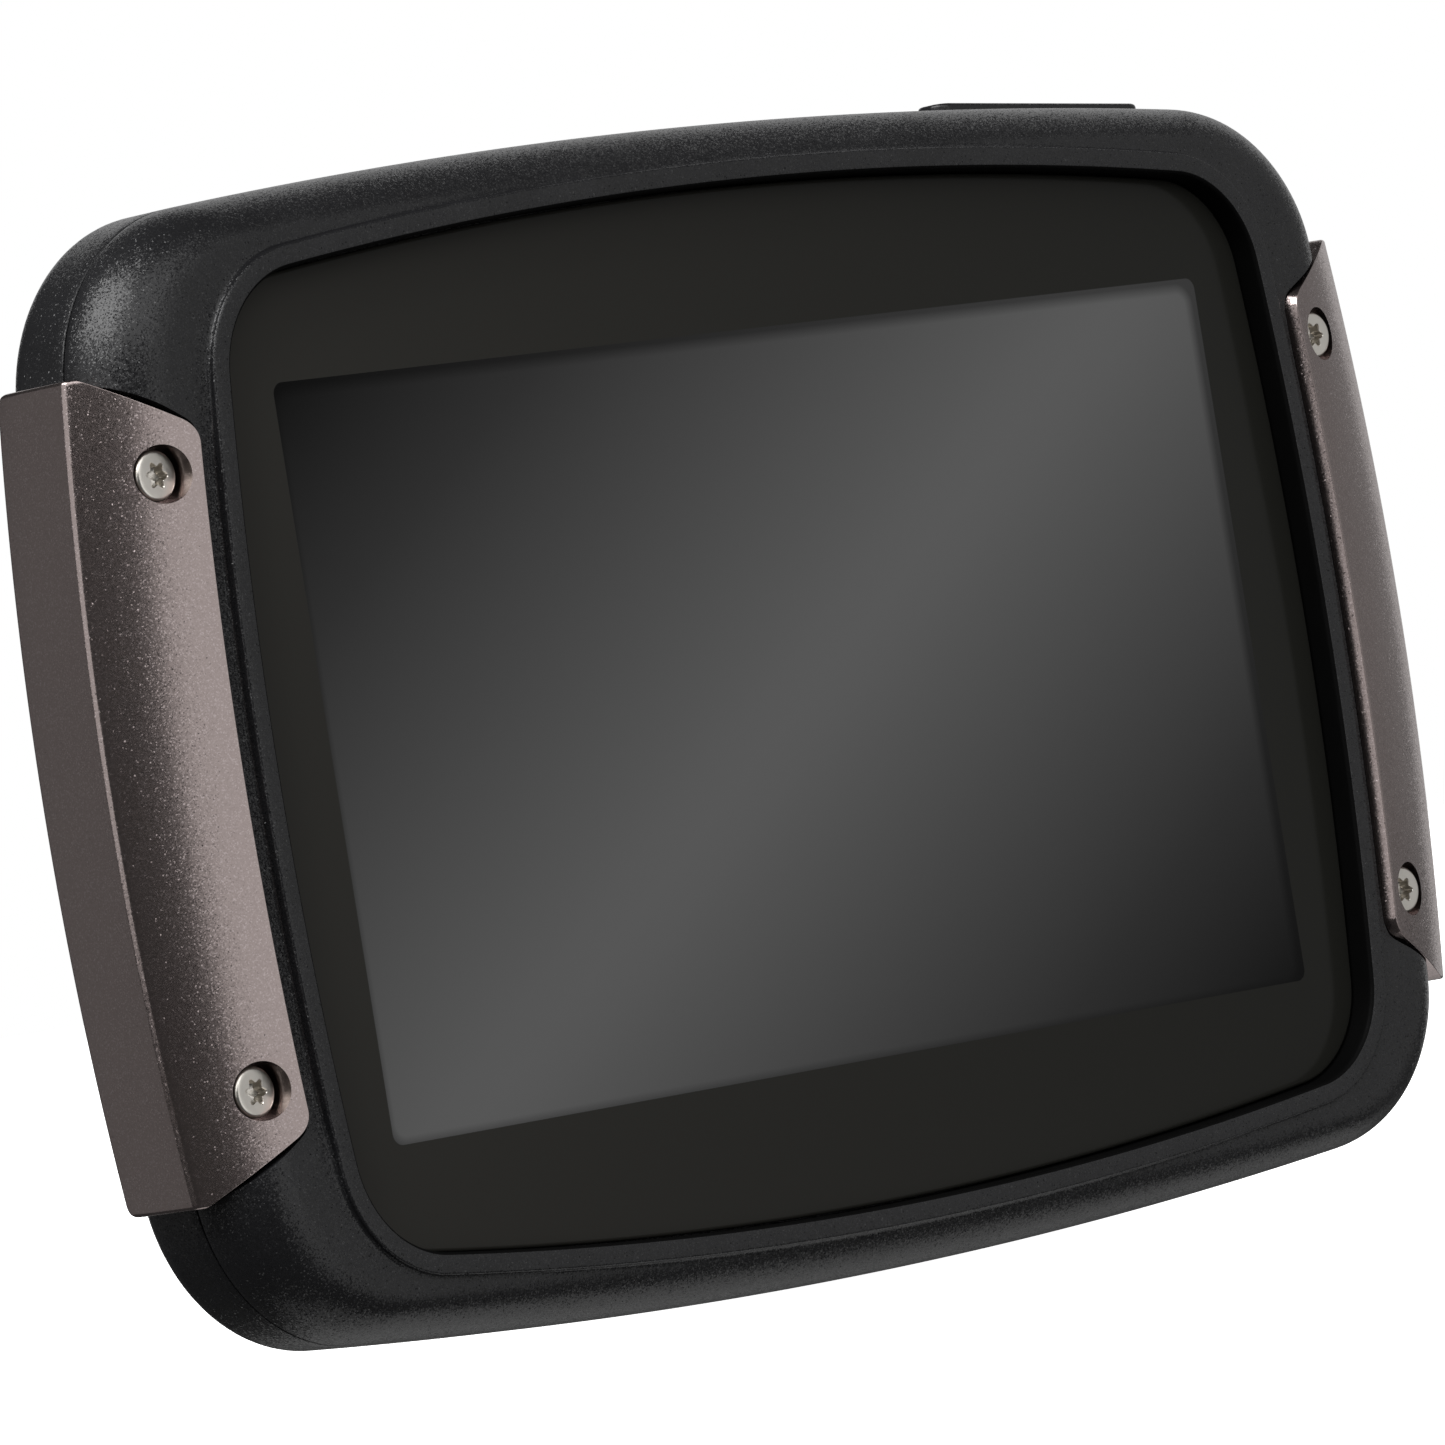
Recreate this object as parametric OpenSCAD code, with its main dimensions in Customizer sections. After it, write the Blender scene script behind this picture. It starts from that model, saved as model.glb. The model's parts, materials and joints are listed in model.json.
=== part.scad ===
// Portable navigator with a 4.3 inch touch screen, side grips and a rear dock.
// Modelled about the middle of its screen: X to the right, Y from the glass to
// the back, Z up. stand() then sets the part down on its bottom edge.

/* [Case] */
// Width over the housing, without the side grips
case_w = 132.6; // [130:0.1:136]
// Height of the housing
case_h = 87.52; // [86:0.02:90]
// Depth from the highest point of the front to the dock face
case_d = 30; // [29:0.5:32]
// Wall thickness of the rear shell
wall = 1.8; // [1.5:0.1:2.2]
// Depth of the seam between the shells, behind the screen window
seam_y = 4.2; // [4:0.1:4.6]

/* [Screen] */
// Width of the clear window in the cover glass
window_w = 97.4; // [96:0.1:98]
// Height of the clear window in the cover glass
window_h = 55.6; // [54.5:0.1:56]
// Width of the cover glass
glass_w = 110.8; // [110:0.1:111]
// Height of the cover glass
glass_h = 77.2; // [76:0.1:78]
// Height of the rim above the cover glass
rim_proud = 1.95; // [1.5:0.05:2]

/* [Grips] */
// Width over the two grips
grip_span = 137; // [136.6:0.1:138]
// Half the length of a grip's outer face
grip_half = 29.75; // [28:0.25:31]
// Height of a grip screw above and below the middle
grip_screw_z = 22.2; // [20:0.1:23]

/* [Power button] */
// Length of the button cap
button_l = 22.5; // [18:0.5:24]
// How far the cap stands out of the housing
button_proud = 0.95; // [0.6:0.05:1.1]
// Travel of the button
button_travel = 0.5; // [0.3:0.05:0.5]

/* [Dock] */
// Width of the raised dock block
dock_w = 62; // [50:1:66]
// Height of the raised dock block
dock_h = 38; // [36:1:40]

/* [Hidden] */
$fn = 48;

// Depths behind the screen window, front to back
front_y = -0.15 - rim_proud;
back_y = front_y + case_d;
glass_t = 1.1;
glass_y = -0.15;
sensor_y = glass_y + glass_t;
sensor_t = 0.55;
ledge_y = sensor_y + sensor_t;
ledge_t = 1;
panel_y = ledge_y + ledge_t + 0.05;
panel_t = 1.3;
backlight_y = panel_y + panel_t;
backlight_t = 1.7;
tray_y = backlight_y + backlight_t;
tray_t = 0.4;
chassis_y = tray_y + tray_t;
chassis_t = 1;
board_y = 9.7;
board_t = 1;
board_back = board_y + board_t;
shell_back = 20;

// Outlines are bowed rounded rectangles:
// [half width, half height, side radius, top radius, corner radius]
case_line = [case_w / 2, case_h / 2, 246, 596, 13.7];
rim_line = [57.2, 40.4, 287, 389, 9.9];
glass_line = [glass_w / 2, glass_h / 2, 285, 387, 8.1];
back_line = [case_w / 2 - 24, case_h / 2 - 24, 150, 300, 8];
side_steps = 3;
corner_steps = 6;
top_steps = 4;

// Front shoulder: a quarter round that falls away from the rim to the seam
shoulder_r = 5.2;
shoulder_y = seam_y - 0.1;
crown = 0.45;
crown_from = 20;
crown_over = 13;
shoulder_at = [0, 0.03, 0.1, 0.22, 0.4, 0.65, 1];

// Rear shell: straight wall, tight edge, then a wide dome to the flat back
edge_y = 8.5;
edge_r = 3;
edge_turn = 46;
dome_in = edge_r * (1 - cos(edge_turn));
dome_y = edge_y + edge_r * sin(edge_turn);
dome_r = (shell_back - dome_y) / (1 - sin(edge_turn));
dome_run = 24;

// Grips
grip_x = grip_span / 2;
grip_front = 9.64;
grip_side_r = 235;
grip_inner_r = 290;
grip_ridge_y = 1.73;
grip_floor_y = 2.25;
grip_back_y = 9.2;
grip_slope = 0.231;
grip_curve = (grip_ridge_y - front_y - grip_slope * grip_front) / (grip_front * grip_front);
grip_screw_x = 61.2;
grip_head_y = -0.45;
grip_head_r = 1.87;
grip_head_t = 1.2;
grip_screw_l = 5.5;
grip_bore_r = 2.13;
grip_hole_r = 1.1;
grip_boss_r = 2.1;
grip_boss_back = 8.4;
grip_insert_back = 6.9;
grip_gap = 0.08;
grip_end = 1.3;

// Screws and their brass inserts
screw_r = 0.925;
thread_r = 0.975;
insert_r = 1.4;
insert_hole_r = 1.42;
case_screw_at = [[56.4, 32], [-56.4, 32], [56.4, -32], [-56.4, -32]];
case_seat_y = 11.5;
case_head_r = 1.9;
case_head_t = 1.3;
case_bore_r = 2.2;
case_hole_r = 1.15;
case_screw_l = 9;
case_insert_y = 1.8;
case_boss_r = 3;
case_rear_boss_r = 3.4;
small_head_r = 1.8;
small_hole_r = 1.1;
drive_depth = 0.7;
board_screw_at = [[45, 27.5], [-45, 27.5], [45, -34], [-45, -34]];

// Display parts
tray_w = 106.2;
tray_h = 67.8;
panel_w = 105.2;
panel_h = 66.8;
film_t = 0.15;
ribbon_back = board_y - 1;
ribbon_end_z = -31;
opening_w = window_w + 1.6;
opening_h = window_h + 2.4;
sensor_w = opening_w + 1.6;
sensor_h = opening_h + 1.2;

// Pressure vent in the rear shell
vent_at = [-36, 10];
vent_r = 0.6;
membrane_r = 2.5;

// Board components on its back, as [left, right, low, high] and a height
processor_at = [14, 28, -31, -17];
processor_t = 1.2;
memory_at = [[31, 42, -31, -22], [31, 42, -19, -12]];
memory_t = 1;
radio_at = [-44, -20, -26, -6];
power_at = [-16, 10, -36, -20];
shield_t = 1.8;
shield_wall = 0.2;
gnss_at = [-44, -19, -1, 24];
gnss_t = 4;
wireless_at = [-38, -28, 26.5, 29.5];
wireless_t = 1.2;
dock_socket_at = [-9, 9, -16.5, -12.5];
dock_socket_t = 1.4;

// Battery, stuck to the rear shell by its pad
battery_back = 16.8;
battery_plug_z = -19.3;

// Power button, in a frame that lies on the housing's top
button_x = 41.4;
button_y = 7.6;
button_w = 3.2;
stem_r = 1.5;
button_tilt = asin(button_x / case_line[3]);
button_z = case_line[1] - case_line[3] * (1 - cos(button_tilt));

// Port cover
cover_half = 16;
barrel_r = 1.15;
barrel_gap = 0.2;
barrel_y = 6;
barrel_z = -case_h / 2 + barrel_r;
hinge_pin_r = 0.5;
hinge_bore_r = 0.55;
cover_back = 10.6;
floor_z = barrel_z + barrel_r + barrel_gap;
port_block_z = -39.2;
port_y = 8.35;
usb_x = -8.75;
usb_w = 7.5;
usb_t = 2.7;
card_x = 6;
card_w = 14;

// Dock
dock_wall = 2;
dock_seat_y = back_y - dock_wall;
dock_screw_at = [for (x = [-1, 1]) for (z = [-1, 1]) [x * (dock_w / 2 - 4.5), z * (dock_h / 2 - 4.5)]];
dock_post_r = 2.8;
contact_w = 26;
contact_h = 10;

function lerp(a, b, t) = a + (b - a) * t;
function smooth(t) = let (u = min(max(t, 0), 1)) u * u * (3 - 2 * u);
function inset(line, d) = [line[0] - d, line[1] - d, line[2] - d, line[3] - d, max(line[4] - d, 0.5)];

// Centre of the corner arc: it touches the side arc and the top arc from inside
function corner_centre(l) =
    let (
        side = [l[0] - l[2], 0],
        top = [0, l[1] - l[3]],
        d1 = l[2] - l[4],
        d2 = l[3] - l[4],
        gap = norm(top - side),
        t = (d1 * d1 - d2 * d2 + gap * gap) / (2 * gap),
        h = sqrt(d1 * d1 - t * t),
        u = (top - side) / gap
    )
    side + u * t + h * [-u[1], u[0]];

// A quarter of an outline, from the middle of the side to the middle of the top
function quarter(l) =
    let (
        c = corner_centre(l),
        from = atan2(c[1], c[0] - (l[0] - l[2])),
        to = atan2(c[1] - (l[1] - l[3]), c[0])
    )
    concat(
        [for (i = [0 : side_steps - 1]) let (a = from * i / side_steps)
            [l[0] - l[2] + l[2] * cos(a), l[2] * sin(a)]],
        [for (i = [0 : corner_steps - 1]) let (a = lerp(from, to, i / corner_steps))
            c + l[4] * [cos(a), sin(a)]],
        [for (i = [0 : top_steps]) let (a = lerp(to, 90, i / top_steps))
            [l[3] * cos(a), l[1] - l[3] + l[3] * sin(a)]]
    );

// The whole outline as [x, z] points
function outline(l) =
    let (q = quarter(l), n = len(q) - 1)
    concat(
        [for (i = [0 : n - 1]) q[i]],
        [for (i = [n : -1 : 1]) [-q[i][0], q[i][1]]],
        [for (i = [0 : n - 1]) -q[i]],
        [for (i = [n : -1 : 1]) [q[i][0], -q[i][1]]]
    );

function ring(points, y) = [for (p = points) [p[0], y, p[1]]];
function ring_between(a, b, t, y) =
    [for (i = [0 : len(a) - 1]) let (p = lerp(a[i], b[i], t)) [p[0], y, p[1]]];

// Depth of the front shoulder at a distance in from the housing's side
function shoulder_depth(s, z) =
    let (t = 1 - min(s / shoulder_r, 1))
    shoulder_y - (shoulder_r + crown * smooth((abs(z) - crown_from) / crown_over)) * sqrt(1 - t * t);

// Rings of the rear shell from its flat back to the seam, a wall thickness t inside its skin
function rear_rings(t) =
    let (outer = outline(case_line), flat = outline(back_line))
    concat(
        [for (i = [4 : -1 : 1]) let (a = lerp(edge_turn, 90, i / 4))
            ring_between(outer, flat,
                (dome_in + dome_r * cos(edge_turn) - (dome_r - t) * cos(a)) / dome_run,
                shell_back - t - (dome_r - t) * (1 - sin(a)))],
        [for (a = [edge_turn, edge_turn / 2])
            ring_between(outer, flat,
                (edge_r - (edge_r - t) * cos(a)) / dome_run,
                edge_y + (edge_r - t) * sin(a))],
        [for (y = [edge_y, seam_y - (t > 0 ? 1 : 0)]) ring_between(outer, flat, t / dome_run, y)]
    );

// A closed solid through rings that all have the same number of points
module skin(rings) {
    n = len(rings[0]);
    m = len(rings);
    polyhedron(
        points = [for (r = rings) for (p = r) p],
        faces = concat(
            [[for (i = [0 : n - 1]) i]],
            [for (k = [0 : m - 2]) for (i = [0 : n - 1]) let (j = (i + 1) % n)
                [k * n + i, (k + 1) * n + i, k * n + j]],
            [for (k = [0 : m - 2]) for (i = [0 : n - 1]) let (j = (i + 1) % n)
                [k * n + j, (k + 1) * n + i, (k + 1) * n + j]],
            [[for (i = [n - 1 : -1 : 0]) (m - 1) * n + i]]
        )
    );
}

// Sets the part down with the middle of its bounding box's base at the origin
module stand() {
    translate([0, -front_y - case_d / 2, case_h / 2]) children();
}

// Stretches a flat [x, z] shape from depth y0 to depth y1
module slab(y0, y1) {
    translate([0, y1, 0]) rotate([90, 0, 0]) linear_extrude(height = y1 - y0) children();
}

module box(x0, x1, y0, y1, z0, z1) {
    translate([x0, y0, z0]) cube([x1 - x0, y1 - y0, z1 - z0]);
}

// A block on the back of the main board
module on_board(at, h) {
    box(at[0], at[1], board_back, board_back + h, at[2], at[3]);
}

// A round bar along Y
module rod(x, z, r, y0, y1) {
    translate([x, y0, z]) rotate([-90, 0, 0]) cylinder(r = r, h = y1 - y0);
}

module round_rect(w, h, r) {
    hull() {
        for (x = [-1, 1]) {
            for (z = [-1, 1]) {
                translate([x * (w / 2 - r), z * (h / 2 - r)]) circle(r = r, $fn = 32);
            }
        }
    }
}

// Six-lobed drive recess
module drive() {
    circle(r = 0.62, $fn = 24);
    for (a = [0 : 60 : 300]) {
        rotate(a) translate([0.66, 0]) circle(r = 0.2, $fn = 16);
    }
}

// Screw along Y with its head's top at y_head; dir is -1 when the head faces the front
module screw(x, z, y_head, head_r, head_t, length, dir) {
    y_seat = y_head - dir * head_t;
    y_tip = y_seat - dir * length;
    difference() {
        union() {
            rod(x, z, head_r, min(y_head, y_seat), max(y_head, y_seat));
            rod(x, z, screw_r, min(y_seat, y_tip), max(y_seat, y_tip));
        }
        translate([x, 0, z]) slab(y_head - drive_depth, y_head + drive_depth) drive();
    }
}

// Outline of a grip as seen from the front, on the right side
function bend(a, c, b, t) = (1 - t) * (1 - t) * a + 2 * t * (1 - t) * c + t * t * b;
function grip_edge(z, r, x) = x - z * z / (2 * r);
function grip_inner(z) = grip_edge(z, grip_inner_r, grip_x - grip_front);
function grip_ridge(z) = grip_edge(z, grip_side_r, grip_x);
grip_corner_z = grip_half - 5.6;
grip_top = concat(
    [for (i = [0 : 6]) let (z = grip_corner_z * i / 6) [grip_inner(z), z]],
    [for (i = [1 : 4]) bend(
        [grip_inner(grip_corner_z), grip_corner_z],
        [grip_inner(grip_corner_z) - 0.04, grip_corner_z + 1.4],
        [grip_inner(grip_corner_z) + 1.4, grip_corner_z + 2.2], i / 4)],
    [[grip_ridge(grip_half) - grip_end, grip_half], [grip_x + 6, grip_half]]
);
grip_outline = concat(
    grip_top,
    [for (i = [len(grip_top) - 1 : -1 : 1]) [grip_top[i][0], -grip_top[i][1]]]
);

// Cross-section of a grip at height z, as [x, y] points
function grip_section(z) =
    let (xi = grip_inner(z), xr = grip_ridge(z), xo = grip_edge(z, case_line[2], case_line[0]) + 0.06)
    concat(
        [[xi - 3, front_y - 3 * grip_slope]],
        [for (i = [0 : 6]) let (u = grip_front * i / 6)
            [lerp(xi, xr, i / 6), front_y + grip_slope * u + grip_curve * u * u]],
        [[xr, grip_back_y], [xo, grip_back_y], [xo, grip_floor_y], [xi - 3, grip_floor_y]]
    );

module grip() {
    stations = [for (i = [-8 : 8]) i / 8 * (grip_half + 2)];
    difference() {
        intersection() {
            skin([for (z = stations) [for (p = grip_section(z)) [p[0], p[1], z]]]);
            slab(front_y - 1, grip_back_y + 1) polygon(grip_outline);
        }
        for (z = [-grip_screw_z, grip_screw_z]) {
            rod(grip_screw_x, z, grip_bore_r, front_y - 2, grip_head_y + grip_head_t);
            rod(grip_screw_x, z, grip_hole_r, front_y - 2, grip_floor_y + 1);
        }
    }
}

module front_housing() color([0.09, 0.09, 0.1]) stand() {
    outer = outline(case_line);
    rim = outline(rim_line);
    shoulder = [for (f = shoulder_at) [for (i = [0 : len(outer) - 1])
        let (p = lerp(outer[i], rim[i], f))
        [p[0], shoulder_depth(f * norm(outer[i] - rim[i]), p[1]), p[1]]]];
    lip = [
        ring(outline(inset(rim_line, 0.05)), front_y + 0.2),
        ring(outline(inset(rim_line, 0.25)), front_y)
    ];
    difference() {
        union() {
            skin(concat([ring(outer, seam_y)], shoulder, lip));
            for (x = [-grip_screw_x, grip_screw_x]) {
                for (z = [-grip_screw_z, grip_screw_z]) {
                    rod(x, z, grip_boss_r, seam_y - 1, grip_boss_back);
                }
            }
            for (p = case_screw_at) {
                rod(p[0], p[1], case_boss_r, seam_y - 1, chassis_y);
            }
        }
        slab(front_y - 1, ledge_y) polygon(outline(inset(glass_line, -0.12)));
        slab(front_y - 1, seam_y + 1) round_rect(opening_w, opening_h, 1.5);
        slab(ledge_y + ledge_t, seam_y + 1) round_rect(tray_w + 0.4, tray_h + 0.4, 1.2);
        slab(seam_y - 0.9, seam_y + 1) difference() {
            polygon(outline(inset(case_line, 0.8)));
            polygon(outline(inset(case_line, 1.65)));
        }
        for (side = [0, 1]) {
            mirror([side, 0, 0]) slab(front_y - 3, grip_floor_y + 0.05)
                offset(delta = grip_gap) polygon(grip_outline);
            for (z = [-grip_screw_z, grip_screw_z]) {
                mirror([side, 0, 0])
                    rod(grip_screw_x, z, insert_hole_r, grip_floor_y - 1, grip_insert_back + 0.5);
            }
        }
        for (p = case_screw_at) {
            rod(p[0], p[1], insert_hole_r, case_insert_y - 0.1, chassis_y + 1);
        }
        box(21.5, 30.5, ledge_y, seam_y + 1, -36, -28.9);
    }
}

// Places children on the housing's top at the button, with Z along its travel
module at_button() {
    translate([button_x, button_y, button_z]) rotate([0, button_tilt, 0]) children();
}

module pill(l, w, z0, z1) {
    translate([0, 0, z0]) linear_extrude(height = z1 - z0) {
        square([l - w, w], center = true);
        for (x = [-1, 1]) {
            translate([x * (l - w) / 2, 0]) circle(d = w);
        }
    }
}

module rear_housing() color([0.08, 0.08, 0.09]) stand() {
    difference() {
        skin(rear_rings(0));
        // the hollow, less the screw bosses, the port block and the button block
        difference() {
            skin(rear_rings(wall));
            for (p = case_screw_at) {
                rod(p[0], p[1], case_rear_boss_r, chassis_y + chassis_t, back_y);
            }
            box(-21, 21, seam_y - 2, 12, -44, port_block_z);
            at_button() box(-13.4, 13.4, -3, 3, -4, 0);
        }
        // window for the dock's flat cable, holes for the dock screws and the vent
        slab(shell_back - 3, shell_back + 1) round_rect(34, 34, 3);
        for (p = dock_screw_at) {
            rod(p[0], p[1], small_hole_r, shell_back - 3, shell_back + 1);
        }
        rod(vent_at[0], vent_at[1], vent_r, shell_back - 4, shell_back + 1);
        for (p = case_screw_at) {
            rod(p[0], p[1], case_bore_r, case_seat_y, back_y);
            rod(p[0], p[1], case_hole_r, seam_y - 1, case_seat_y + 1);
        }
        // button cap, seal gland and stem guide
        at_button() {
            pill(button_l + 0.4, button_w + 0.4, -1.35, 5);
            translate([0, 0, -3.05]) cylinder(r = 2.6, h = 1.8);
            translate([0, 0, -6]) cylinder(r = stem_r + 0.05, h = 5);
        }
        // port cover seat, hinge groove and pin holes, the port openings and a nail notch
        cover_seat();
        box(usb_x - usb_w / 2 - 0.45, usb_x + usb_w / 2 + 0.45, port_y - 1.6, port_y + 1.6, -45, -38);
        box(card_x - 6.3, card_x + 6.3, port_y - 1.1, port_y + 1.1, -45, -38);
        translate([-4, cover_back + 1.1, -case_h / 2 + 0.5]) rotate([0, 90, 0]) cylinder(r = 1.3, h = 8);
    }
}

// A round bar along X on the port cover's hinge axis
module hinge_rod(half, r) {
    translate([-half, barrel_y, barrel_z]) rotate([0, 90, 0]) cylinder(r = r, h = 2 * half);
}

module cover_seat() {
    half = cover_half + 0.2;
    reach = barrel_r + barrel_gap;
    box(-half, half, barrel_y, cover_back + 0.25, -50, floor_z);
    box(-half, half, barrel_y - reach, barrel_y + 1, -50, barrel_z);
    hinge_rod(half, reach);
    hinge_rod(cover_half + 1.5, hinge_bore_r);
}

module left_grip() color([0.43, 0.38, 0.36]) stand() mirror([1, 0, 0]) grip();

module right_grip() color([0.43, 0.38, 0.36]) stand() grip();

module grip_screws() color([0.75, 0.74, 0.7]) stand() {
    for (x = [-grip_screw_x, grip_screw_x]) {
        for (z = [-grip_screw_z, grip_screw_z]) {
            screw(x, z, grip_head_y, grip_head_r, grip_head_t, grip_screw_l, -1);
        }
    }
}

module grip_inserts() color([0.72, 0.57, 0.3]) stand() {
    for (x = [-grip_screw_x, grip_screw_x]) {
        for (z = [-grip_screw_z, grip_screw_z]) {
            difference() {
                rod(x, z, insert_r, grip_floor_y + 0.1, grip_insert_back);
                rod(x, z, thread_r, grip_floor_y - 1, 8);
            }
        }
    }
}

module cover_glass() color([0.1, 0.1, 0.1]) stand()
    slab(glass_y, glass_y + glass_t) polygon(outline(glass_line));

module lens_gasket() color([0.05, 0.05, 0.05]) stand() slab(sensor_y, sensor_y + sensor_t) difference() {
    polygon(outline(inset(glass_line, 0.25)));
    round_rect(sensor_w + 0.4, sensor_h + 0.4, 2);
}

module touch_sensor() color([0.35, 0.38, 0.4]) stand()
    slab(sensor_y, sensor_y + sensor_t) round_rect(sensor_w, sensor_h, 1.8);

// Flat cable that leaves the front, turns under the display and rises to the board
module ribbon(x0, x1, y0, z0, z_turn) {
    box(x0, x1, y0, y0 + film_t, z_turn, z0);
    box(x0, x1, y0, ribbon_back, z_turn - film_t, z_turn);
    box(x0, x1, ribbon_back - film_t, ribbon_back, z_turn - film_t, ribbon_end_z);
}

module touch_flex() color([0.75, 0.45, 0.12]) stand() ribbon(22, 30, ledge_y, -28.95, -35.3);

module display_panel() color([0.15, 0.16, 0.17]) stand()
    slab(panel_y, panel_y + panel_t) round_rect(panel_w, panel_h, 0.6);

module display_backlight() color([0.9, 0.9, 0.88]) stand()
    slab(backlight_y, backlight_y + backlight_t) round_rect(panel_w, panel_h, 0.6);

module display_frame() color([0.7, 0.71, 0.72]) stand() difference() {
    slab(panel_y, chassis_y) round_rect(tray_w, tray_h, 1);
    slab(panel_y - 1, tray_y) round_rect(panel_w + 0.1, panel_h + 0.1, 0.65);
    box(-34.5, -17.5, 4.3, 5.6, -40, -30);
}

module display_flex() color([0.75, 0.45, 0.12]) stand() ribbon(-34, -18, 4.8, -panel_h / 2 - 0.02, -35.2);

module mid_frame() color([0.62, 0.64, 0.65]) stand() difference() {
    union() {
        slab(chassis_y, chassis_y + chassis_t) difference() {
            polygon(outline(inset(case_line, 3)));
            for (p = case_screw_at) {
                translate(p) circle(r = case_hole_r);
            }
            for (x = [-grip_screw_x, grip_screw_x]) {
                for (z = [-grip_screw_z, grip_screw_z]) {
                    translate([x, z]) circle(r = 2.4);
                }
            }
            // openings for the two flat cables, the ports and the button
            translate([-35, -36]) square([18, 2]);
            translate([21, -36]) square([10, 2]);
            translate([-22, -50]) square([44, 27]);
            translate([27, 37]) square([28, 12]);
            translate([36, 32]) square([12, 6]);
        }
        for (p = board_screw_at) {
            rod(p[0], p[1], 2.5, chassis_y, board_y);
        }
    }
    for (p = board_screw_at) {
        rod(p[0], p[1], thread_r, chassis_y - 1, board_y + 1);
    }
}

module main_board() color([0.05, 0.3, 0.16]) stand() difference() {
    union() {
        box(-48, 48, board_y, board_back, -37.5, 30);
        box(31, 52, board_y, board_back, 29, 36.5);
    }
    for (p = board_screw_at) {
        rod(p[0], p[1], small_hole_r, board_y - 1, board_back + 1);
    }
}

module board_screws() color([0.75, 0.75, 0.76]) stand() {
    for (p = board_screw_at) {
        screw(p[0], p[1], board_back + 1, small_head_r, 1, 3.6, 1);
    }
}

module board_connectors() color([0.85, 0.82, 0.74]) stand() {
    box(-34, -18, ribbon_back, board_y, -33.5, -30);
    box(22, 30, ribbon_back, board_y, -33.5, -30);
    on_board(dock_socket_at, dock_socket_t);
}

module processor() color([0.08, 0.08, 0.09]) stand() on_board(processor_at, processor_t);

module memory_chips() color([0.08, 0.08, 0.09]) stand() {
    for (at = memory_at) {
        on_board(at, memory_t);
    }
}

module shield(at) {
    difference() {
        on_board(at, shield_t);
        box(at[0] + shield_wall, at[1] - shield_wall, board_back - 1, board_back + shield_t - shield_wall,
            at[2] + shield_wall, at[3] - shield_wall);
    }
}

module radio_shield() color([0.78, 0.79, 0.8]) stand() shield(radio_at);

module power_shield() color([0.78, 0.79, 0.8]) stand() shield(power_at);

module gnss_antenna() color([0.82, 0.74, 0.6]) stand() {
    on_board(gnss_at, gnss_t);
    // solder on the feed pin
    rod((gnss_at[0] + gnss_at[1]) / 2, (gnss_at[2] + gnss_at[3]) / 2, 1,
        board_back + gnss_t, board_back + gnss_t + 0.3);
}

module wireless_antenna() color([0.9, 0.9, 0.88]) stand() on_board(wireless_at, wireless_t);

module usb_socket() color([0.76, 0.77, 0.78]) stand() {
    difference() {
        box(usb_x - usb_w / 2, usb_x + usb_w / 2, port_y - usb_t / 2, board_y, -38.9, -33.7);
        box(usb_x - usb_w / 2 + 0.3, usb_x + usb_w / 2 - 0.3, port_y - 1.05, port_y + 1.05, -39.5, -34.2);
    }
    box(usb_x - 2, usb_x + 2, port_y - 0.3, port_y + 0.3, -38.3, -34);
}

module card_socket() color([0.76, 0.77, 0.78]) stand() difference() {
    box(card_x - card_w / 2, card_x + card_w / 2, port_y - 0.9, board_y, -38.9, -24);
    box(card_x - 5.6, card_x + 5.6, port_y - 0.5, port_y + 0.5, -39.5, -24.5);
}

module battery() color([0.62, 0.65, 0.7]) stand()
    slab(12.6, battery_back) translate([14, 7]) round_rect(58, 32, 2.2);

module battery_lead() color([0.7, 0.1, 0.08]) stand() {
    for (x = [36, 38.4]) {
        translate([x, 13.6, battery_plug_z]) cylinder(r = 0.55, h = -9 - battery_plug_z);
    }
}

module battery_connector() color([0.92, 0.9, 0.84]) stand()
    box(34, 40.4, board_back, 14.6, battery_plug_z - 2.2, battery_plug_z);

module battery_pad() color([0.2, 0.2, 0.21]) stand()
    box(-2, 21, battery_back, shell_back - wall, 16.9, 19);

module tactile_switch() color([0.15, 0.15, 0.16]) stand() at_button() difference() {
    box(-3, 3, -1.5, board_y - button_y, -9, -5.1);
    translate([0, 0, -6.7]) cylinder(r = 1, h = 4);
}

module switch_plunger() color([0.9, 0.9, 0.88]) stand() at_button()
    translate([0, 0, -6.1]) cylinder(r = 0.9, h = 1.75);

module power_button() color([0.07, 0.07, 0.08]) stand() intersection() {
    slab(0, 15) difference() {
        polygon(outline(inset(case_line, -button_proud)));
        translate([-80, -60]) square([80, 120]);
    }
    at_button() {
        pill(button_l, button_w, -0.7, 5);
        translate([0, 0, -4.3]) cylinder(r = stem_r, h = 4.3);
    }
}

module button_seal() color([0.12, 0.12, 0.13]) stand() at_button() translate([0, 0, -1.95])
    rotate_extrude() translate([2.05, 0]) circle(r = 0.5, $fn = 32);

module case_seal() color([0.3, 0.3, 0.32]) stand() slab(seam_y - 0.88, seam_y) difference() {
    polygon(outline(inset(case_line, 0.84)));
    polygon(outline(inset(case_line, 1.61)));
}

module case_screws() color([0.7, 0.7, 0.7]) stand() {
    for (p = case_screw_at) {
        screw(p[0], p[1], case_seat_y + case_head_t, case_head_r, case_head_t, case_screw_l, 1);
    }
}

module case_inserts() color([0.72, 0.57, 0.3]) stand() {
    for (p = case_screw_at) {
        difference() {
            rod(p[0], p[1], insert_r, case_insert_y, chassis_y);
            rod(p[0], p[1], thread_r, case_insert_y - 1, chassis_y + 1);
        }
    }
}

module vent_membrane() color([0.93, 0.93, 0.92]) stand()
    rod(vent_at[0], vent_at[1], membrane_r, shell_back - wall - 0.3, shell_back - wall);

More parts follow.
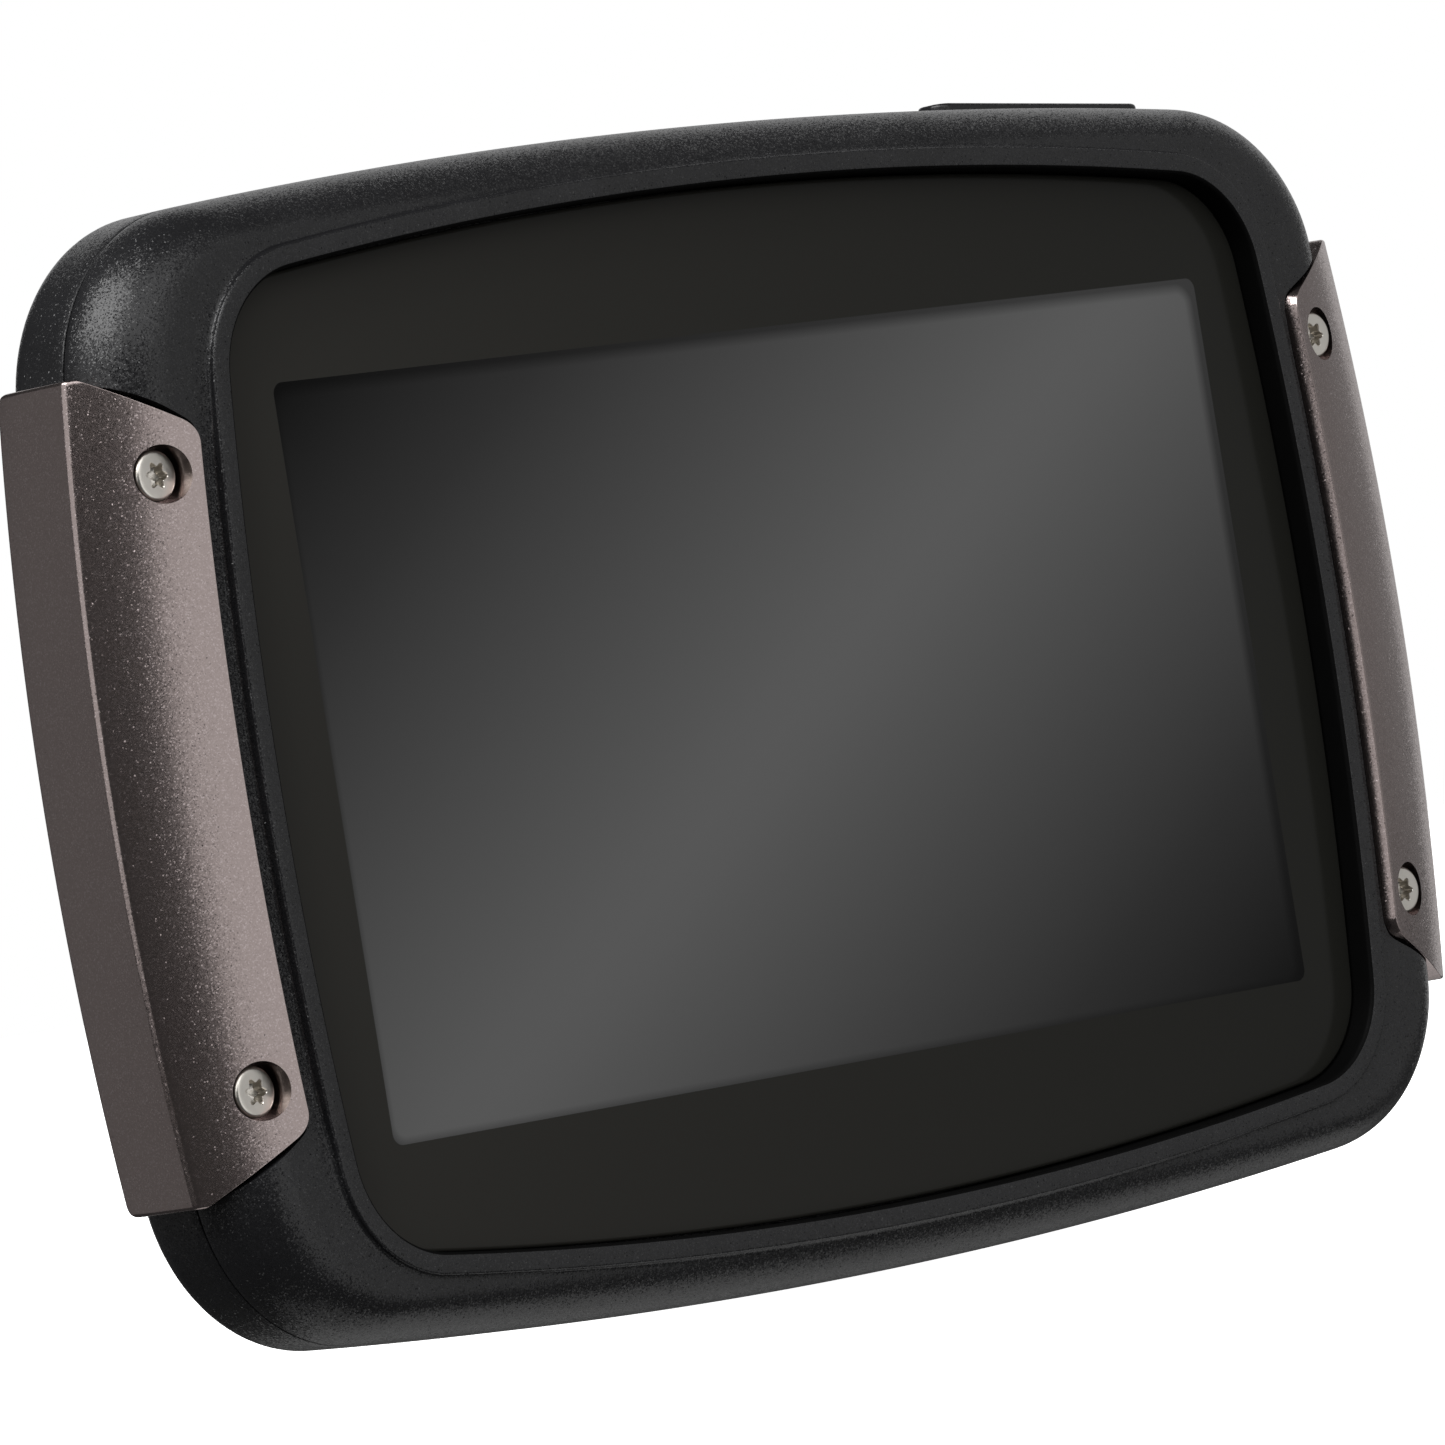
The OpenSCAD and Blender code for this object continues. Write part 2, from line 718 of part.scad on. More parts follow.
module port_cover() color([0.06, 0.06, 0.06]) stand() {
    intersection() {
        skin(rear_rings(0));
        union() {
            box(-cover_half, cover_half, barrel_y, cover_back, -50, floor_z - 0.06);
            hinge_rod(cover_half, barrel_r);
            hinge_rod(cover_half + 1.3, hinge_pin_r);
        }
    }
    // plugs that close the two ports
    box(usb_x - 3.4, usb_x + 3.4, port_y - 0.85, port_y + 0.85, floor_z - 0.3, floor_z + 0.9);
    box(card_x - 5.4, card_x + 5.4, port_y - 0.4, port_y + 0.4, floor_z - 0.3, floor_z + 0.9);
}

// Raised block that slides into a vehicle dock: hollow, with a post in each corner
module dock_block() color([0.07, 0.07, 0.08]) stand() difference() {
    union() {
        slab(shell_back, back_y - 1) round_rect(dock_w, dock_h, 6);
        slab(back_y - 1, back_y) round_rect(dock_w - 1.6, dock_h - 1.6, 5.2);
    }
    difference() {
        slab(shell_back - 1, dock_seat_y) round_rect(dock_w - 4, dock_h - 4, 4);
        for (p = dock_screw_at) {
            rod(p[0], p[1], dock_post_r, shell_back - 2, back_y);
        }
    }
    slab(dock_seat_y - 1, back_y + 1) round_rect(contact_w, contact_h, 2);
    for (x = [-1, 1]) {
        translate([x * dock_w / 2, 0, 0]) box(-1.2, 1.2, shell_back + 2, shell_back + 4.6, -6, 6);
    }
    for (p = dock_screw_at) {
        rod(p[0], p[1], thread_r, shell_back - 1, shell_back + 5);
    }
}

module dock_screws() color([0.75, 0.75, 0.76]) stand() {
    for (p = dock_screw_at) {
        screw(p[0], p[1], shell_back - wall - 1, small_head_r, 1, 6, -1);
    }
}

module contact_at() {
    for (x = [-9, -3, 3, 9]) {
        for (z = [-2.2, 2.2]) {
            translate([x, 0, z]) children();
        }
    }
}

module dock_plate() color([0.1, 0.1, 0.11]) stand() difference() {
    union() {
        slab(dock_seat_y - 1.2, dock_seat_y) round_rect(contact_w + 4, contact_h + 4, 3);
        slab(dock_seat_y - 1.2, dock_seat_y + 0.7) round_rect(contact_w - 0.3, contact_h - 0.3, 1.85);
    }
    contact_at() rod(0, 0, 0.95, dock_seat_y - 3, back_y);
}

module dock_contacts() color([0.85, 0.66, 0.25]) stand() contact_at() {
    rod(0, 0, 0.9, dock_seat_y - 1.6, dock_seat_y + 0.95);
}

module dock_flex() color([0.75, 0.45, 0.12]) stand() {
    z = (dock_socket_at[2] + dock_socket_at[3]) / 2;
    box(-8, 8, board_back + dock_socket_t, dock_seat_y - 1.6, z - film_t, z);
    box(-10.5, 10.5, dock_seat_y - 1.6 - film_t, dock_seat_y - 1.6, z - film_t, 4);
}

front_housing();
rear_housing();
left_grip();
right_grip();
grip_screws();
grip_inserts();
cover_glass();
lens_gasket();
touch_sensor();
touch_flex();
display_panel();
display_backlight();
display_frame();
display_flex();
mid_frame();
main_board();
board_screws();
board_connectors();
processor();
memory_chips();
radio_shield();
power_shield();
gnss_antenna();
wireless_antenna();
usb_socket();
card_socket();
battery();
battery_lead();
battery_connector();
battery_pad();
tactile_switch();
switch_plunger();
power_button();
button_seal();
case_seal();
case_screws();
case_inserts();
vent_membrane();
port_cover();
dock_block();
dock_screws();
dock_plate();
dock_contacts();
dock_flex();
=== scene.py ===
import json
import math
import bmesh
import bpy
import numpy as np
from mathutils import Matrix, Vector


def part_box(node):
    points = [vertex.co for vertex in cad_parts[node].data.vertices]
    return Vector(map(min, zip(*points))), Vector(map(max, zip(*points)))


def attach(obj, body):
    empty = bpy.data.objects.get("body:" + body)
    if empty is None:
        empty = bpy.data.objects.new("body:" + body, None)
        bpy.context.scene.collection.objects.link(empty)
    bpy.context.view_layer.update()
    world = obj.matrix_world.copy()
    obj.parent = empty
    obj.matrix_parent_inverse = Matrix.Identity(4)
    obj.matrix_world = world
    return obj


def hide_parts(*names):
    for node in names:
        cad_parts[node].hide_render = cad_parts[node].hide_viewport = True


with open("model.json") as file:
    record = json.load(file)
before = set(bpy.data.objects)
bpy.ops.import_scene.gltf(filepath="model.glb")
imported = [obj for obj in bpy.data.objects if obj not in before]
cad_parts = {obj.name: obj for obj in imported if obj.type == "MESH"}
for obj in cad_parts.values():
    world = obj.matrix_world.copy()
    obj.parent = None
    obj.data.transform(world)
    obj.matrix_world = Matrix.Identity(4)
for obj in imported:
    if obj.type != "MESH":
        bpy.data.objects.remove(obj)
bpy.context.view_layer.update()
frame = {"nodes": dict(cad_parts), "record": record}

# Shapes are worked out in millimetres in the case's own frame, as in the CAD: X to the right,
# Y from the screen window to the back, Z up from the middle of the case. place() moves a
# finished piece into the row frame, in metres.
MM = 0.001
# The glass's face in front of the window plane, the rim's height over that face, the depth of
# the seam between the shells, and the rear shell's thickness
GLASS_SINK = 0.15
RIM_PROUD = 1.95
SEAM = 4.2
WALL = 1.8

case_low, case_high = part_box("rear_housing")
front_low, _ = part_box("front_housing")
glass_low, glass_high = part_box("cover_glass")
grip_low, grip_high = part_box("right_grip")
block_low, block_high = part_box("dock_block")
screw_low, screw_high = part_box("grip_screws")

HALF_W = case_high.x / MM
HALF_H = (case_high.z - case_low.z) / MM / 2
FRONT = -GLASS_SINK - RIM_PROUD
SHIFT = Vector((0, front_low.y - FRONT * MM, (case_low.z + case_high.z) / 2))
BACK = (block_high.y - SHIFT.y) / MM
GLASS_W = glass_high.x / MM
GLASS_H = (glass_high.z - glass_low.z) / MM / 2

# Bowed rounded rectangles: half width, half height, side radius, top radius, corner radius
CASE_LINE = (HALF_W, HALF_H, 246, 596, 13.7)
RIM_LINE = (57.2, 40.4, 287, 389, 9.9)
GLASS_LINE = (GLASS_W, GLASS_H, 285, 387, 8.1)
BACK_LINE = (HALF_W - 24, HALF_H - 24, 150, 300, 8)
GLASS_GAP = 0.12
# The window in the glass's printed border: half width, half height, corner radius
WINDOW = (48.7, 27.8, 0.9)
# The openings behind the glass, for the display and for its frame: width, height, corner radius
DISPLAY_OPENING = (99, 58, 1.5)
FRAME_OPENING = (106.6, 68.2, 1.2)
LEDGE_BACK = 2.5

# Edges of the shells: rounding and half the gap at the seam, the fillet at the rim's foot, the
# rim's outer lip, and the mouth over the glass
SEAM_R = 0.1
SEAM_GAP = 0.07
FOOT_R = 0.3
LIP_R = 0.22
MOUTH_R = 0.34

# Front shoulder and rear dome, as in the CAD. The shoulder rises by CROWN near the corners.
SHOULDER_R = 5.2
SHOULDER_Y = SEAM - SEAM_R
CROWN = 0.45
CROWN_FROM = 20
CROWN_RUN = 13
EDGE_Y = 8.5
EDGE_R = 3.0
EDGE_TURN = math.radians(46)
DOME_IN = EDGE_R * (1 - math.cos(EDGE_TURN))
DOME_Y = EDGE_Y + EDGE_R * math.sin(EDGE_TURN)
SHELL_BACK = 20.0
DOME_R = (SHELL_BACK - DOME_Y) / (1 - math.sin(EDGE_TURN))
DOME_RUN = 24.0

# Grips
GRIP_X = grip_high.x / MM
GRIP_HALF = (grip_high.z - grip_low.z) / MM / 2
GRIP_BACK = (grip_high.y - SHIFT.y) / MM
GRIP_FRONT = 9.64
GRIP_SIDE_R = 235
GRIP_INNER_R = 290
GRIP_RIDGE_Y = 1.73
GRIP_FLOOR = 2.25
GRIP_SLOPE = 0.231
GRIP_CURVE = (GRIP_RIDGE_Y - FRONT - GRIP_SLOPE * GRIP_FRONT) / GRIP_FRONT ** 2
GRIP_CORNER = GRIP_HALF - 5.6
# The bevel along a grip's inner edge: how far in from the CAD's edge the face begins, the bevel's
# reach along X and its depth. The reach grows where the edge leans, up to MOST_STRETCH times.
BEVEL_IN = 0.15
BEVEL_RUN = 0.5
BEVEL_DROP = 0.93
MOST_STRETCH = 1.4
# The bend at a grip's corner, as steps from where the straight edge ends, and its top
BEND_PULL = [-0.04, 1.2]
BEND_END = [1.4, 1.95]
BEND_TOP = GRIP_CORNER + 1.9
# The ends: width of the flat tip, and the rounding of the back and of the face
END_FLAT = 0.7
GRIP_END_R = 0.9
TIP_R = 0.25
# The step over which a slope is measured
PROBE = 0.05
# Clearances of a grip: round its bevel's foot, to the case's side wall, and under it
POCKET_GAP = 0.04
WALL_GAP = 0.06
POCKET_FLOOR = GRIP_FLOOR + 0.05

# Grip screws, from the box that the four of them fill
HEAD_R = 1.87
SCREW_X = screw_high.x / MM - HEAD_R
SCREW_Z = (screw_high.z - screw_low.z) / MM / 2 - HEAD_R
HEAD_Y = (screw_low.y - SHIFT.y) / MM
HEAD_T = 1.2
GRIP_SCREW_L = 5.5
WELL_R = 2.13
SHANK_HOLE_R = 1.1
# The posts behind the grips, and the holes in them for the brass inserts
POST_R = 2.1
POST_BACK = 8.4
INSERT_HOLE_R = 1.42
INSERT_HOLE_END = 7.4

# How far a cutting shape runs past the surface that it opens
PAST = 1


def inset(line, d):
    """The same outline, moved inward by d."""
    half_w, half_h, side, top, corner = line
    return (half_w - d, half_h - d, side - d, top - d, max(corner - d, 0.5))


def outline(line):
    """Points (x, z) of a bowed rounded rectangle, counter-clockwise from the right's middle."""
    half_w, half_h, side, top, corner = line
    c1 = np.array([half_w - side, 0.0])
    c2 = np.array([0.0, half_h - top])
    gap = np.linalg.norm(c2 - c1)
    d1, d2 = side - corner, top - corner
    t = (d1 * d1 - d2 * d2 + gap * gap) / (2 * gap)
    h = math.sqrt(d1 * d1 - t * t)
    u = (c2 - c1) / gap
    centre = c1 + u * t + h * np.array([-u[1], u[0]])
    start = math.atan2(centre[1], centre[0] - c1[0])
    end = math.atan2(centre[1] - c2[1], centre[0])

    def arc(c, r, a, b, steps):
        angles = a + (b - a) * np.arange(steps) / steps
        return np.stack([c[0] + r * np.cos(angles), c[1] + r * np.sin(angles)], 1)

    q = np.concatenate([
        arc(c1, side, 0, start, 30),
        arc(centre, corner, start, end, 28),
        arc(c2, top, end, math.pi / 2, 40),
    ])
    apex = np.array([[0.0, half_h]])
    left = (q * [-1, 1])[:0:-1]
    low_left = -q
    right = (q * [1, -1])[:0:-1]
    return np.concatenate([q, apex, left, low_left, -apex, right])


def ring(points, depth):
    """A closed ring of 3-D points from flat (x, z) points and one depth or one each."""
    return np.stack([points[:, 0], np.broadcast_to(depth, len(points)), points[:, 1]], 1)


def loft(rings):
    """A closed solid through rings with the same number of points: (points, faces)."""
    n = len(rings[0])
    faces = [list(range(n))[::-1]]
    for k in range(len(rings) - 1):
        low, high = k * n, (k + 1) * n
        faces += [[low + i, low + (i + 1) % n, high + (i + 1) % n, high + i]
                  for i in range(n)]
    faces.append([(len(rings) - 1) * n + i for i in range(n)])
    return np.concatenate(rings), faces


def build(name, *solids):
    """One object, in millimetres in the case's frame, from (points, faces) solids."""
    points, faces, start = [], [], 0
    for p, f in solids:
        points.append(p)
        faces += [[i + start for i in face] for face in f]
        start += len(p)
    mesh = bpy.data.meshes.new(name)
    mesh.from_pydata(np.concatenate(points).tolist(), [], faces)
    mesh.validate()
    obj = bpy.data.objects.new(name, mesh)
    bpy.context.scene.collection.objects.link(obj)
    outward(mesh)
    return obj


def outward(mesh):
    """Turns every solid's faces outward."""
    bm = bmesh.new()
    bm.from_mesh(mesh)
    bmesh.ops.recalc_face_normals(bm, faces=bm.faces)
    bm.to_mesh(mesh)
    bm.free()


def apply_modifiers(obj):
    """Makes the result of an object's modifiers its mesh."""
    graph = bpy.context.evaluated_depsgraph_get()
    mesh = bpy.data.meshes.new_from_object(obj.evaluated_get(graph))
    obj.modifiers.clear()
    obj.data = mesh


def combine(obj, *solids, operation="DIFFERENCE"):
    """Cuts the solids out of obj, or joins them to it. The solids may overlap each other."""
    for solid in solids:
        tool = build("tool", solid)
        change = obj.modifiers.new("change", "BOOLEAN")
        change.operation = operation
        change.solver = "MANIFOLD"
        change.object = tool
        apply_modifiers(obj)
        bpy.data.objects.remove(tool)


def place(obj):
    """From millimetres in the case's frame to metres in the row frame."""
    obj.data.transform(Matrix.Translation(SHIFT) @ Matrix.Scale(MM, 4))


def finish_piece(obj, body, slot, material, *nodes, sharp=32):
    """Puts a piece in the row frame, shades it, hangs it on its body and hides the CAD nodes that
    it is drawn in place of.

    Edges sharper than the angle, in degrees, stay sharp in the shading."""
    place(obj)
    mesh = obj.data
    mesh.polygons.foreach_set("use_smooth", [True] * len(mesh.polygons))
    mesh.set_sharp_from_angle(angle=math.radians(sharp))
    mesh.materials.clear()
    mesh.materials.append(material)
    mesh.polygons.foreach_set("material_index", [0] * len(mesh.polygons))
    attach(obj, body)
    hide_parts(*nodes)


def slab(points, y0, y1):
    """A flat (x, z) outline stretched from depth y0 to depth y1."""
    return loft([ring(points, y0), ring(points, y1)])


def circle(x, z, r, steps=64):
    """Points (x, z) of a circle, counter-clockwise."""
    a = np.arange(steps) * 2 * math.pi / steps
    return np.stack([x + r * np.cos(a), z + r * np.sin(a)], 1)


def rod(x, z, r, y0, y1, steps=64):
    """A round bar along Y."""
    return slab(circle(x, z, r, steps), y0, y1)


def round_rect(w, h, r, steps=10, x=0.0, z=0.0):
    """Points (x, z) of a rounded rectangle, counter-clockwise."""
    points = []
    for k, (sx, sz) in enumerate(((1, 1), (-1, 1), (-1, -1), (1, -1))):
        for i in range(steps + 1):
            a = math.pi / 2 * (k + i / steps)
            points.append((x + sx * (w / 2 - r) + r * math.cos(a),
                           z + sz * (h / 2 - r) + r * math.sin(a)))
    return np.array(points)


def block(x0, x1, y0, y1, z0, z1):
    """A box between two corners."""
    flat = np.array([(x0, z0), (x1, z0), (x1, z1), (x0, z1)], float)
    return slab(flat, y0, y1)


def bar(half, y, z, r):
    """A round bar along X, from -half to half."""
    steps = 48
    a = np.arange(steps) * 2 * math.pi / steps
    return loft([np.stack([np.full(steps, x), y + r * np.cos(a), z + r * np.sin(a)], 1)
                 for x in (-half, half)])


def turns(count, start=0.0, end=90.0):
    """Evenly spaced angles in radians, both ends included."""
    return np.radians(np.linspace(start, end, count))


# ---------------------------------------------------------------- materials

def new_material(name):
    """A node material: (material, node tree, shader, the object's own coordinates in metres)."""
    material = bpy.data.materials.new(name)
    material.use_nodes = True
    tree = material.node_tree
    shader = next(n for n in tree.nodes if n.type == "BSDF_PRINCIPLED")
    coords = tree.nodes.new("ShaderNodeTexCoord")
    return material, tree, shader, coords.outputs["Object"]


def noise(tree, coords, size_mm, detail):
    """Noise whose lumps are about size_mm across."""
    node = tree.nodes.new("ShaderNodeTexNoise")
    node.inputs["Scale"].default_value = 1 / (size_mm * MM)
    node.inputs["Detail"].default_value = detail
    node.inputs["Roughness"].default_value = 0.5
    tree.links.new(coords, node.inputs["Vector"])
    return node.outputs["Fac"]


def cells(tree, coords, size_mm):
    """The random colours of cells about size_mm across, for flakes and grain."""
    node = tree.nodes.new("ShaderNodeTexVoronoi")
    node.inputs["Scale"].default_value = 1 / (size_mm * MM)
    tree.links.new(coords, node.inputs["Vector"])
    return node.outputs["Color"]


def ramp(tree, value, *stops):
    """A colour ramp through (position, grey or colour) stops."""
    node = tree.nodes.new("ShaderNodeValToRGB")
    elements = node.color_ramp.elements
    while len(elements) < len(stops):
        elements.new(0.5)
    for element, (position, colour) in zip(elements, stops):
        element.position = position
        rgb = colour if isinstance(colour, tuple) else (colour, colour, colour)
        element.color = (*rgb, 1)
    tree.links.new(value, node.inputs["Fac"])
    return node.outputs["Color"]


def span(tree, value, low, high):
    """Maps 0..1 noise to low..high."""
    node = tree.nodes.new("ShaderNodeMapRange")
    node.inputs["To Min"].default_value = low
    node.inputs["To Max"].default_value = high
    tree.links.new(value, node.inputs["Value"])
    return node.outputs["Result"]


def bump(tree, shader, height, depth_mm):
    """Fine relief, depth_mm deep, from 0..1 heights."""
    node = tree.nodes.new("ShaderNodeBump")
    node.inputs["Distance"].default_value = depth_mm * MM
    node.inputs["Strength"].default_value = 1.0
    tree.links.new(height, node.inputs["Height"])
    tree.links.new(node.outputs["Normal"], shader.inputs["Normal"])


def math_node(tree, operation, a, b=None):
    """A math node on numbers or sockets."""
    node = tree.nodes.new("ShaderNodeMath")
    node.operation = operation
    for socket, value in zip(node.inputs, (a, b)):
        if value is None:
            continue
        if isinstance(value, (int, float)):
            socket.default_value = value
        else:
            tree.links.new(value, socket)
    return node.outputs[0]


def vector_math(tree, operation, a, b=None):
    """A vector math node on tuples or sockets."""
    node = tree.nodes.new("ShaderNodeVectorMath")
    node.operation = operation
    for socket, value in zip(node.inputs, (a, b)):
        if isinstance(value, tuple):
            socket.default_value = value
        elif value is not None:
            tree.links.new(value, socket)
    return node.outputs["Vector"]


def facets(tree, shader, coords, size_mm, tilt, even=False):
    """Tiny facets about size_mm across, which lean up to tilt at the most.

    Most lie nearly flat and a few lean far over, or their lean is more evenly spread. Gives the
    channels of the facets' random colour for other uses."""
    # the longest that the centred colour gets, cubed and to the fifth
    longest_cubed, longest_to_fifth = 0.65, 0.487
    colour = cells(tree, coords, size_mm)
    centred = vector_math(tree, "SUBTRACT", colour, (0.5, 0.5, 0.5))
    square = tree.nodes.new("ShaderNodeVectorMath")
    square.operation = "DOT_PRODUCT"
    tree.links.new(centred, square.inputs[0])
    tree.links.new(centred, square.inputs[1])
    if even:
        reach = math_node(tree, "MULTIPLY", square.outputs["Value"], tilt / longest_cubed)
    else:
        fourth = math_node(tree, "MULTIPLY", square.outputs["Value"], square.outputs["Value"])
        reach = math_node(tree, "MULTIPLY", fourth, tilt / longest_to_fifth)
    lean = vector_math(tree, "SCALE", centred)
    tree.links.new(reach, lean.node.inputs["Scale"])
    surface = tree.nodes.new("ShaderNodeNewGeometry").outputs["Normal"]
    turned = vector_math(tree, "NORMALIZE", vector_math(tree, "ADD", surface, lean))
    tree.links.new(turned, shader.inputs["Normal"])
    split = tree.nodes.new("ShaderNodeSeparateColor")
    tree.links.new(colour, split.inputs["Color"])
    return split.outputs


def varied_tint(tree, shader, coords, colour, lump_mm, change):
    """A base colour that drifts up and down by a share of itself in lumps of about lump_mm."""
    dark = tuple(c * (1 - change) for c in colour)
    light = tuple(min(c * (1 + change), 1.0) for c in colour)
    tint = ramp(tree, noise(tree, coords, lump_mm, 3), (0.3, dark), (0.7, light))
    tree.links.new(tint, shader.inputs["Base Color"])


def grained_plastic(name, colour, grain_mm=0.095, tilt=0.75, rough=(0.25, 0.34), level=0.36):
    """Moulded plastic with a fine eroded grain that glints where a light grazes it."""
    material, tree, shader, coords = new_material(name)
    varied_tint(tree, shader, coords, colour, 6, 0.15)
    grain = facets(tree, shader, coords, grain_mm, tilt, even=True)
    tree.links.new(span(tree, grain["Green"], *rough), shader.inputs["Roughness"])
    shader.inputs["Specular IOR Level"].default_value = level
    return material


def smooth_material(name, colour, metallic, rough, grain_mm=0.5, depth_mm=0.004, level=0.5):
    """A plain finish with slight variation in tone and gloss, for small and inner pieces."""
    material, tree, shader, coords = new_material(name)
    varied_tint(tree, shader, coords, colour, 4, 0.1)
    fine = noise(tree, coords, grain_mm, 3)
    tree.links.new(span(tree, fine, rough * 0.85, rough * 1.15), shader.inputs["Roughness"])
    shader.inputs["Metallic"].default_value = metallic
    shader.inputs["Specular IOR Level"].default_value = level
    bump(tree, shader, fine, depth_mm)
    return material


def metallic_paint():
    """Bronze-grey metallic paint: flakes that lean every way, a fifth of them brighter."""
    material, tree, shader, coords = new_material("grip_paint")
    flake_mm, lean = 0.09, 0.24
    flakes = facets(tree, shader, coords, flake_mm, lean)
    tint = ramp(tree, flakes["Red"], (0.0, (0.30, 0.25, 0.24)), (0.8, (0.335, 0.28, 0.27)),
                (1.0, (0.42, 0.36, 0.355)))
    tree.links.new(tint, shader.inputs["Base Color"])
    shader.inputs["Metallic"].default_value = 1.0
    tree.links.new(span(tree, flakes["Green"], 0.17, 0.23), shader.inputs["Roughness"])
    return material


def box_distance(tree, x, z, half_w, half_h, r):
    """Signed distance in metres from a rounded rectangle about (0, 0)."""
    qx = math_node(tree, "SUBTRACT", math_node(tree, "ABSOLUTE", x), half_w - r)
    qz = math_node(tree, "SUBTRACT", math_node(tree, "ABSOLUTE", z), half_h - r)
    ax = math_node(tree, "MAXIMUM", qx, 0.0)
    az = math_node(tree, "MAXIMUM", qz, 0.0)
    far = math_node(tree, "SQRT", math_node(
        tree, "ADD", math_node(tree, "MULTIPLY", ax, ax), math_node(tree, "MULTIPLY", az, az)))
    near = math_node(tree, "MINIMUM", math_node(tree, "MAXIMUM", qx, qz), 0.0)
    return math_node(tree, "SUBTRACT", math_node(tree, "ADD", far, near), r)


def multiply_colours(tree, a, b):
    """The product of two colours."""
    node = tree.nodes.new("ShaderNodeMix")
    node.data_type = "RGBA"
    node.blend_type = "MULTIPLY"
    node.inputs["Factor"].default_value = 1.0
    tree.links.new(a, node.inputs["A"])
    tree.links.new(b, node.inputs["B"])
    return node.outputs["Result"]


def screen_glass():
    """Cover glass: a dark olive printed border round a window over the switched-off display.

    Its sheen, the shade along the window's right and upper edges and the border's lighter left end
    are tones painted in the glass's own coordinates, not reflections."""
    material, tree, shader, coords = new_material("cover_glass")
    split = tree.nodes.new("ShaderNodeSeparateXYZ")
    tree.links.new(coords, split.inputs["Vector"])
    x = split.outputs["X"]
    z = math_node(tree, "SUBTRACT", split.outputs["Z"], SHIFT.z)
    half_w, half_h, corner = (size * MM for size in WINDOW)
    edge = box_distance(tree, x, z, half_w, half_h, corner)
    inside = math_node(tree, "LESS_THAN", edge, 0.0)
    # the display lies below the print, whose shade is painted along its right and upper edges
    shift_x, shift_z, fade = 0.45 * MM, 0.3 * MM, 0.9 * MM
    deep = box_distance(tree, math_node(tree, "ADD", x, shift_x),
                        math_node(tree, "ADD", z, shift_z), half_w, half_h, corner * 2)
    shade = span(tree, math_node(tree, "DIVIDE", deep, -fade), 0.4, 1.0)
    # a soft sheen along the diagonal from the lower left to the upper right, which fades out
    # sheen_mm away from it
    sheen_mm, lean_x, lean_z = 50, 0.56 / MM, 0.83 / MM
    across = math_node(tree, "ABSOLUTE", math_node(
        tree, "SUBTRACT", math_node(tree, "MULTIPLY", x, lean_x),
        math_node(tree, "MULTIPLY", z, lean_z)))
    sheen = ramp(tree, math_node(tree, "DIVIDE", across, sheen_mm), (0.0, 0.132), (0.06, 0.128),
                 (0.42, 0.073), (0.7, 0.033), (1.0, 0.004))
    lit = multiply_colours(tree, sheen, shade)
    # the printed border, with a painted sheen that makes it a little lighter at its left end
    along = math_node(tree, "ADD", math_node(tree, "MULTIPLY", x, 0.5 / (GLASS_W * MM)), 0.5)
    border = ramp(tree, along, (0.0, (0.0285, 0.0275, 0.0245)), (1.0, (0.0155, 0.0155, 0.0135)))
    mix = tree.nodes.new("ShaderNodeMix")
    mix.data_type = "RGBA"
    tree.links.new(inside, mix.inputs["Factor"])
    tree.links.new(border, mix.inputs["A"])
    tree.links.new(lit, mix.inputs["B"])
    tree.links.new(mix.outputs["Result"], shader.inputs["Base Color"])
    tree.links.new(span(tree, noise(tree, coords, 3, 2), 0.12, 0.18), shader.inputs["Roughness"])
    shader.inputs["Specular IOR Level"].default_value = 0.08
    return material


# ---------------------------------------------------------------- shells

def blend(a, b, t):
    """From a to b as t goes from 0 to 1."""
    return a + (b - a) * t


def step(t):
    """A smooth step from 0 to 1."""
    t = np.clip(t, 0, 1)
    return t * t * (3 - 2 * t)


def shoulder_depth(s, z):
    """Depth of the front shoulder at a distance s in from the case's side."""
    t = 1 - np.minimum(s / SHOULDER_R, 1)
    crown = CROWN * step((np.abs(z) - CROWN_FROM) / CROWN_RUN)
    return SHOULDER_Y - (SHOULDER_R + crown) * np.sqrt(1 - t * t)


def front_rings():
    """Rings of the front shell, from the seam over the shoulder and the rim down past the glass."""
    outer, rim = outline(CASE_LINE), outline(RIM_LINE)
    reach = np.linalg.norm(outer - rim, axis=1)
    rings = []
    for a in turns(4):
        t = SEAM_R * (1 - math.sin(a)) / reach[:, None]
        rings.append(ring(blend(outer, rim, t), SEAM - SEAM_GAP - SEAM_R * (1 - math.cos(a))))
    # the shoulder, its rings close together at the outer side
    steps, crowding = 34, 1.8
    for k in range(1, steps):
        s = (k / steps) ** crowding * (reach - FOOT_R)
        p = blend(outer, rim, (s / reach)[:, None])
        rings.append(ring(p, np.minimum(shoulder_depth(s, p[:, 1]), SEAM - SEAM_GAP - SEAM_R)))
    # small fillet at the rim's foot, then the rim itself and the wall down to the glass
    for a in turns(4):
        s = reach - FOOT_R * (1 - math.sin(a))
        p = blend(outer, rim, (s / reach)[:, None])
        rings.append(ring(p, shoulder_depth(s, p[:, 1]) - FOOT_R * (1 - math.cos(a))))
    for a in turns(5):
        lip = inset(RIM_LINE, LIP_R * (1 - math.cos(a)))
        rings.append(ring(outline(lip), FRONT + LIP_R * (1 - math.sin(a))))
    mouth = inset(GLASS_LINE, -GLASS_GAP)
    for a in turns(6):
        lip = inset(mouth, -MOUTH_R * (1 - math.sin(a)))
        rings.append(ring(outline(lip), FRONT + MOUTH_R * (1 - math.cos(a))))
    for y in (-1.2, -0.4, 1.5):
        rings.append(ring(outline(mouth), y))
    return rings


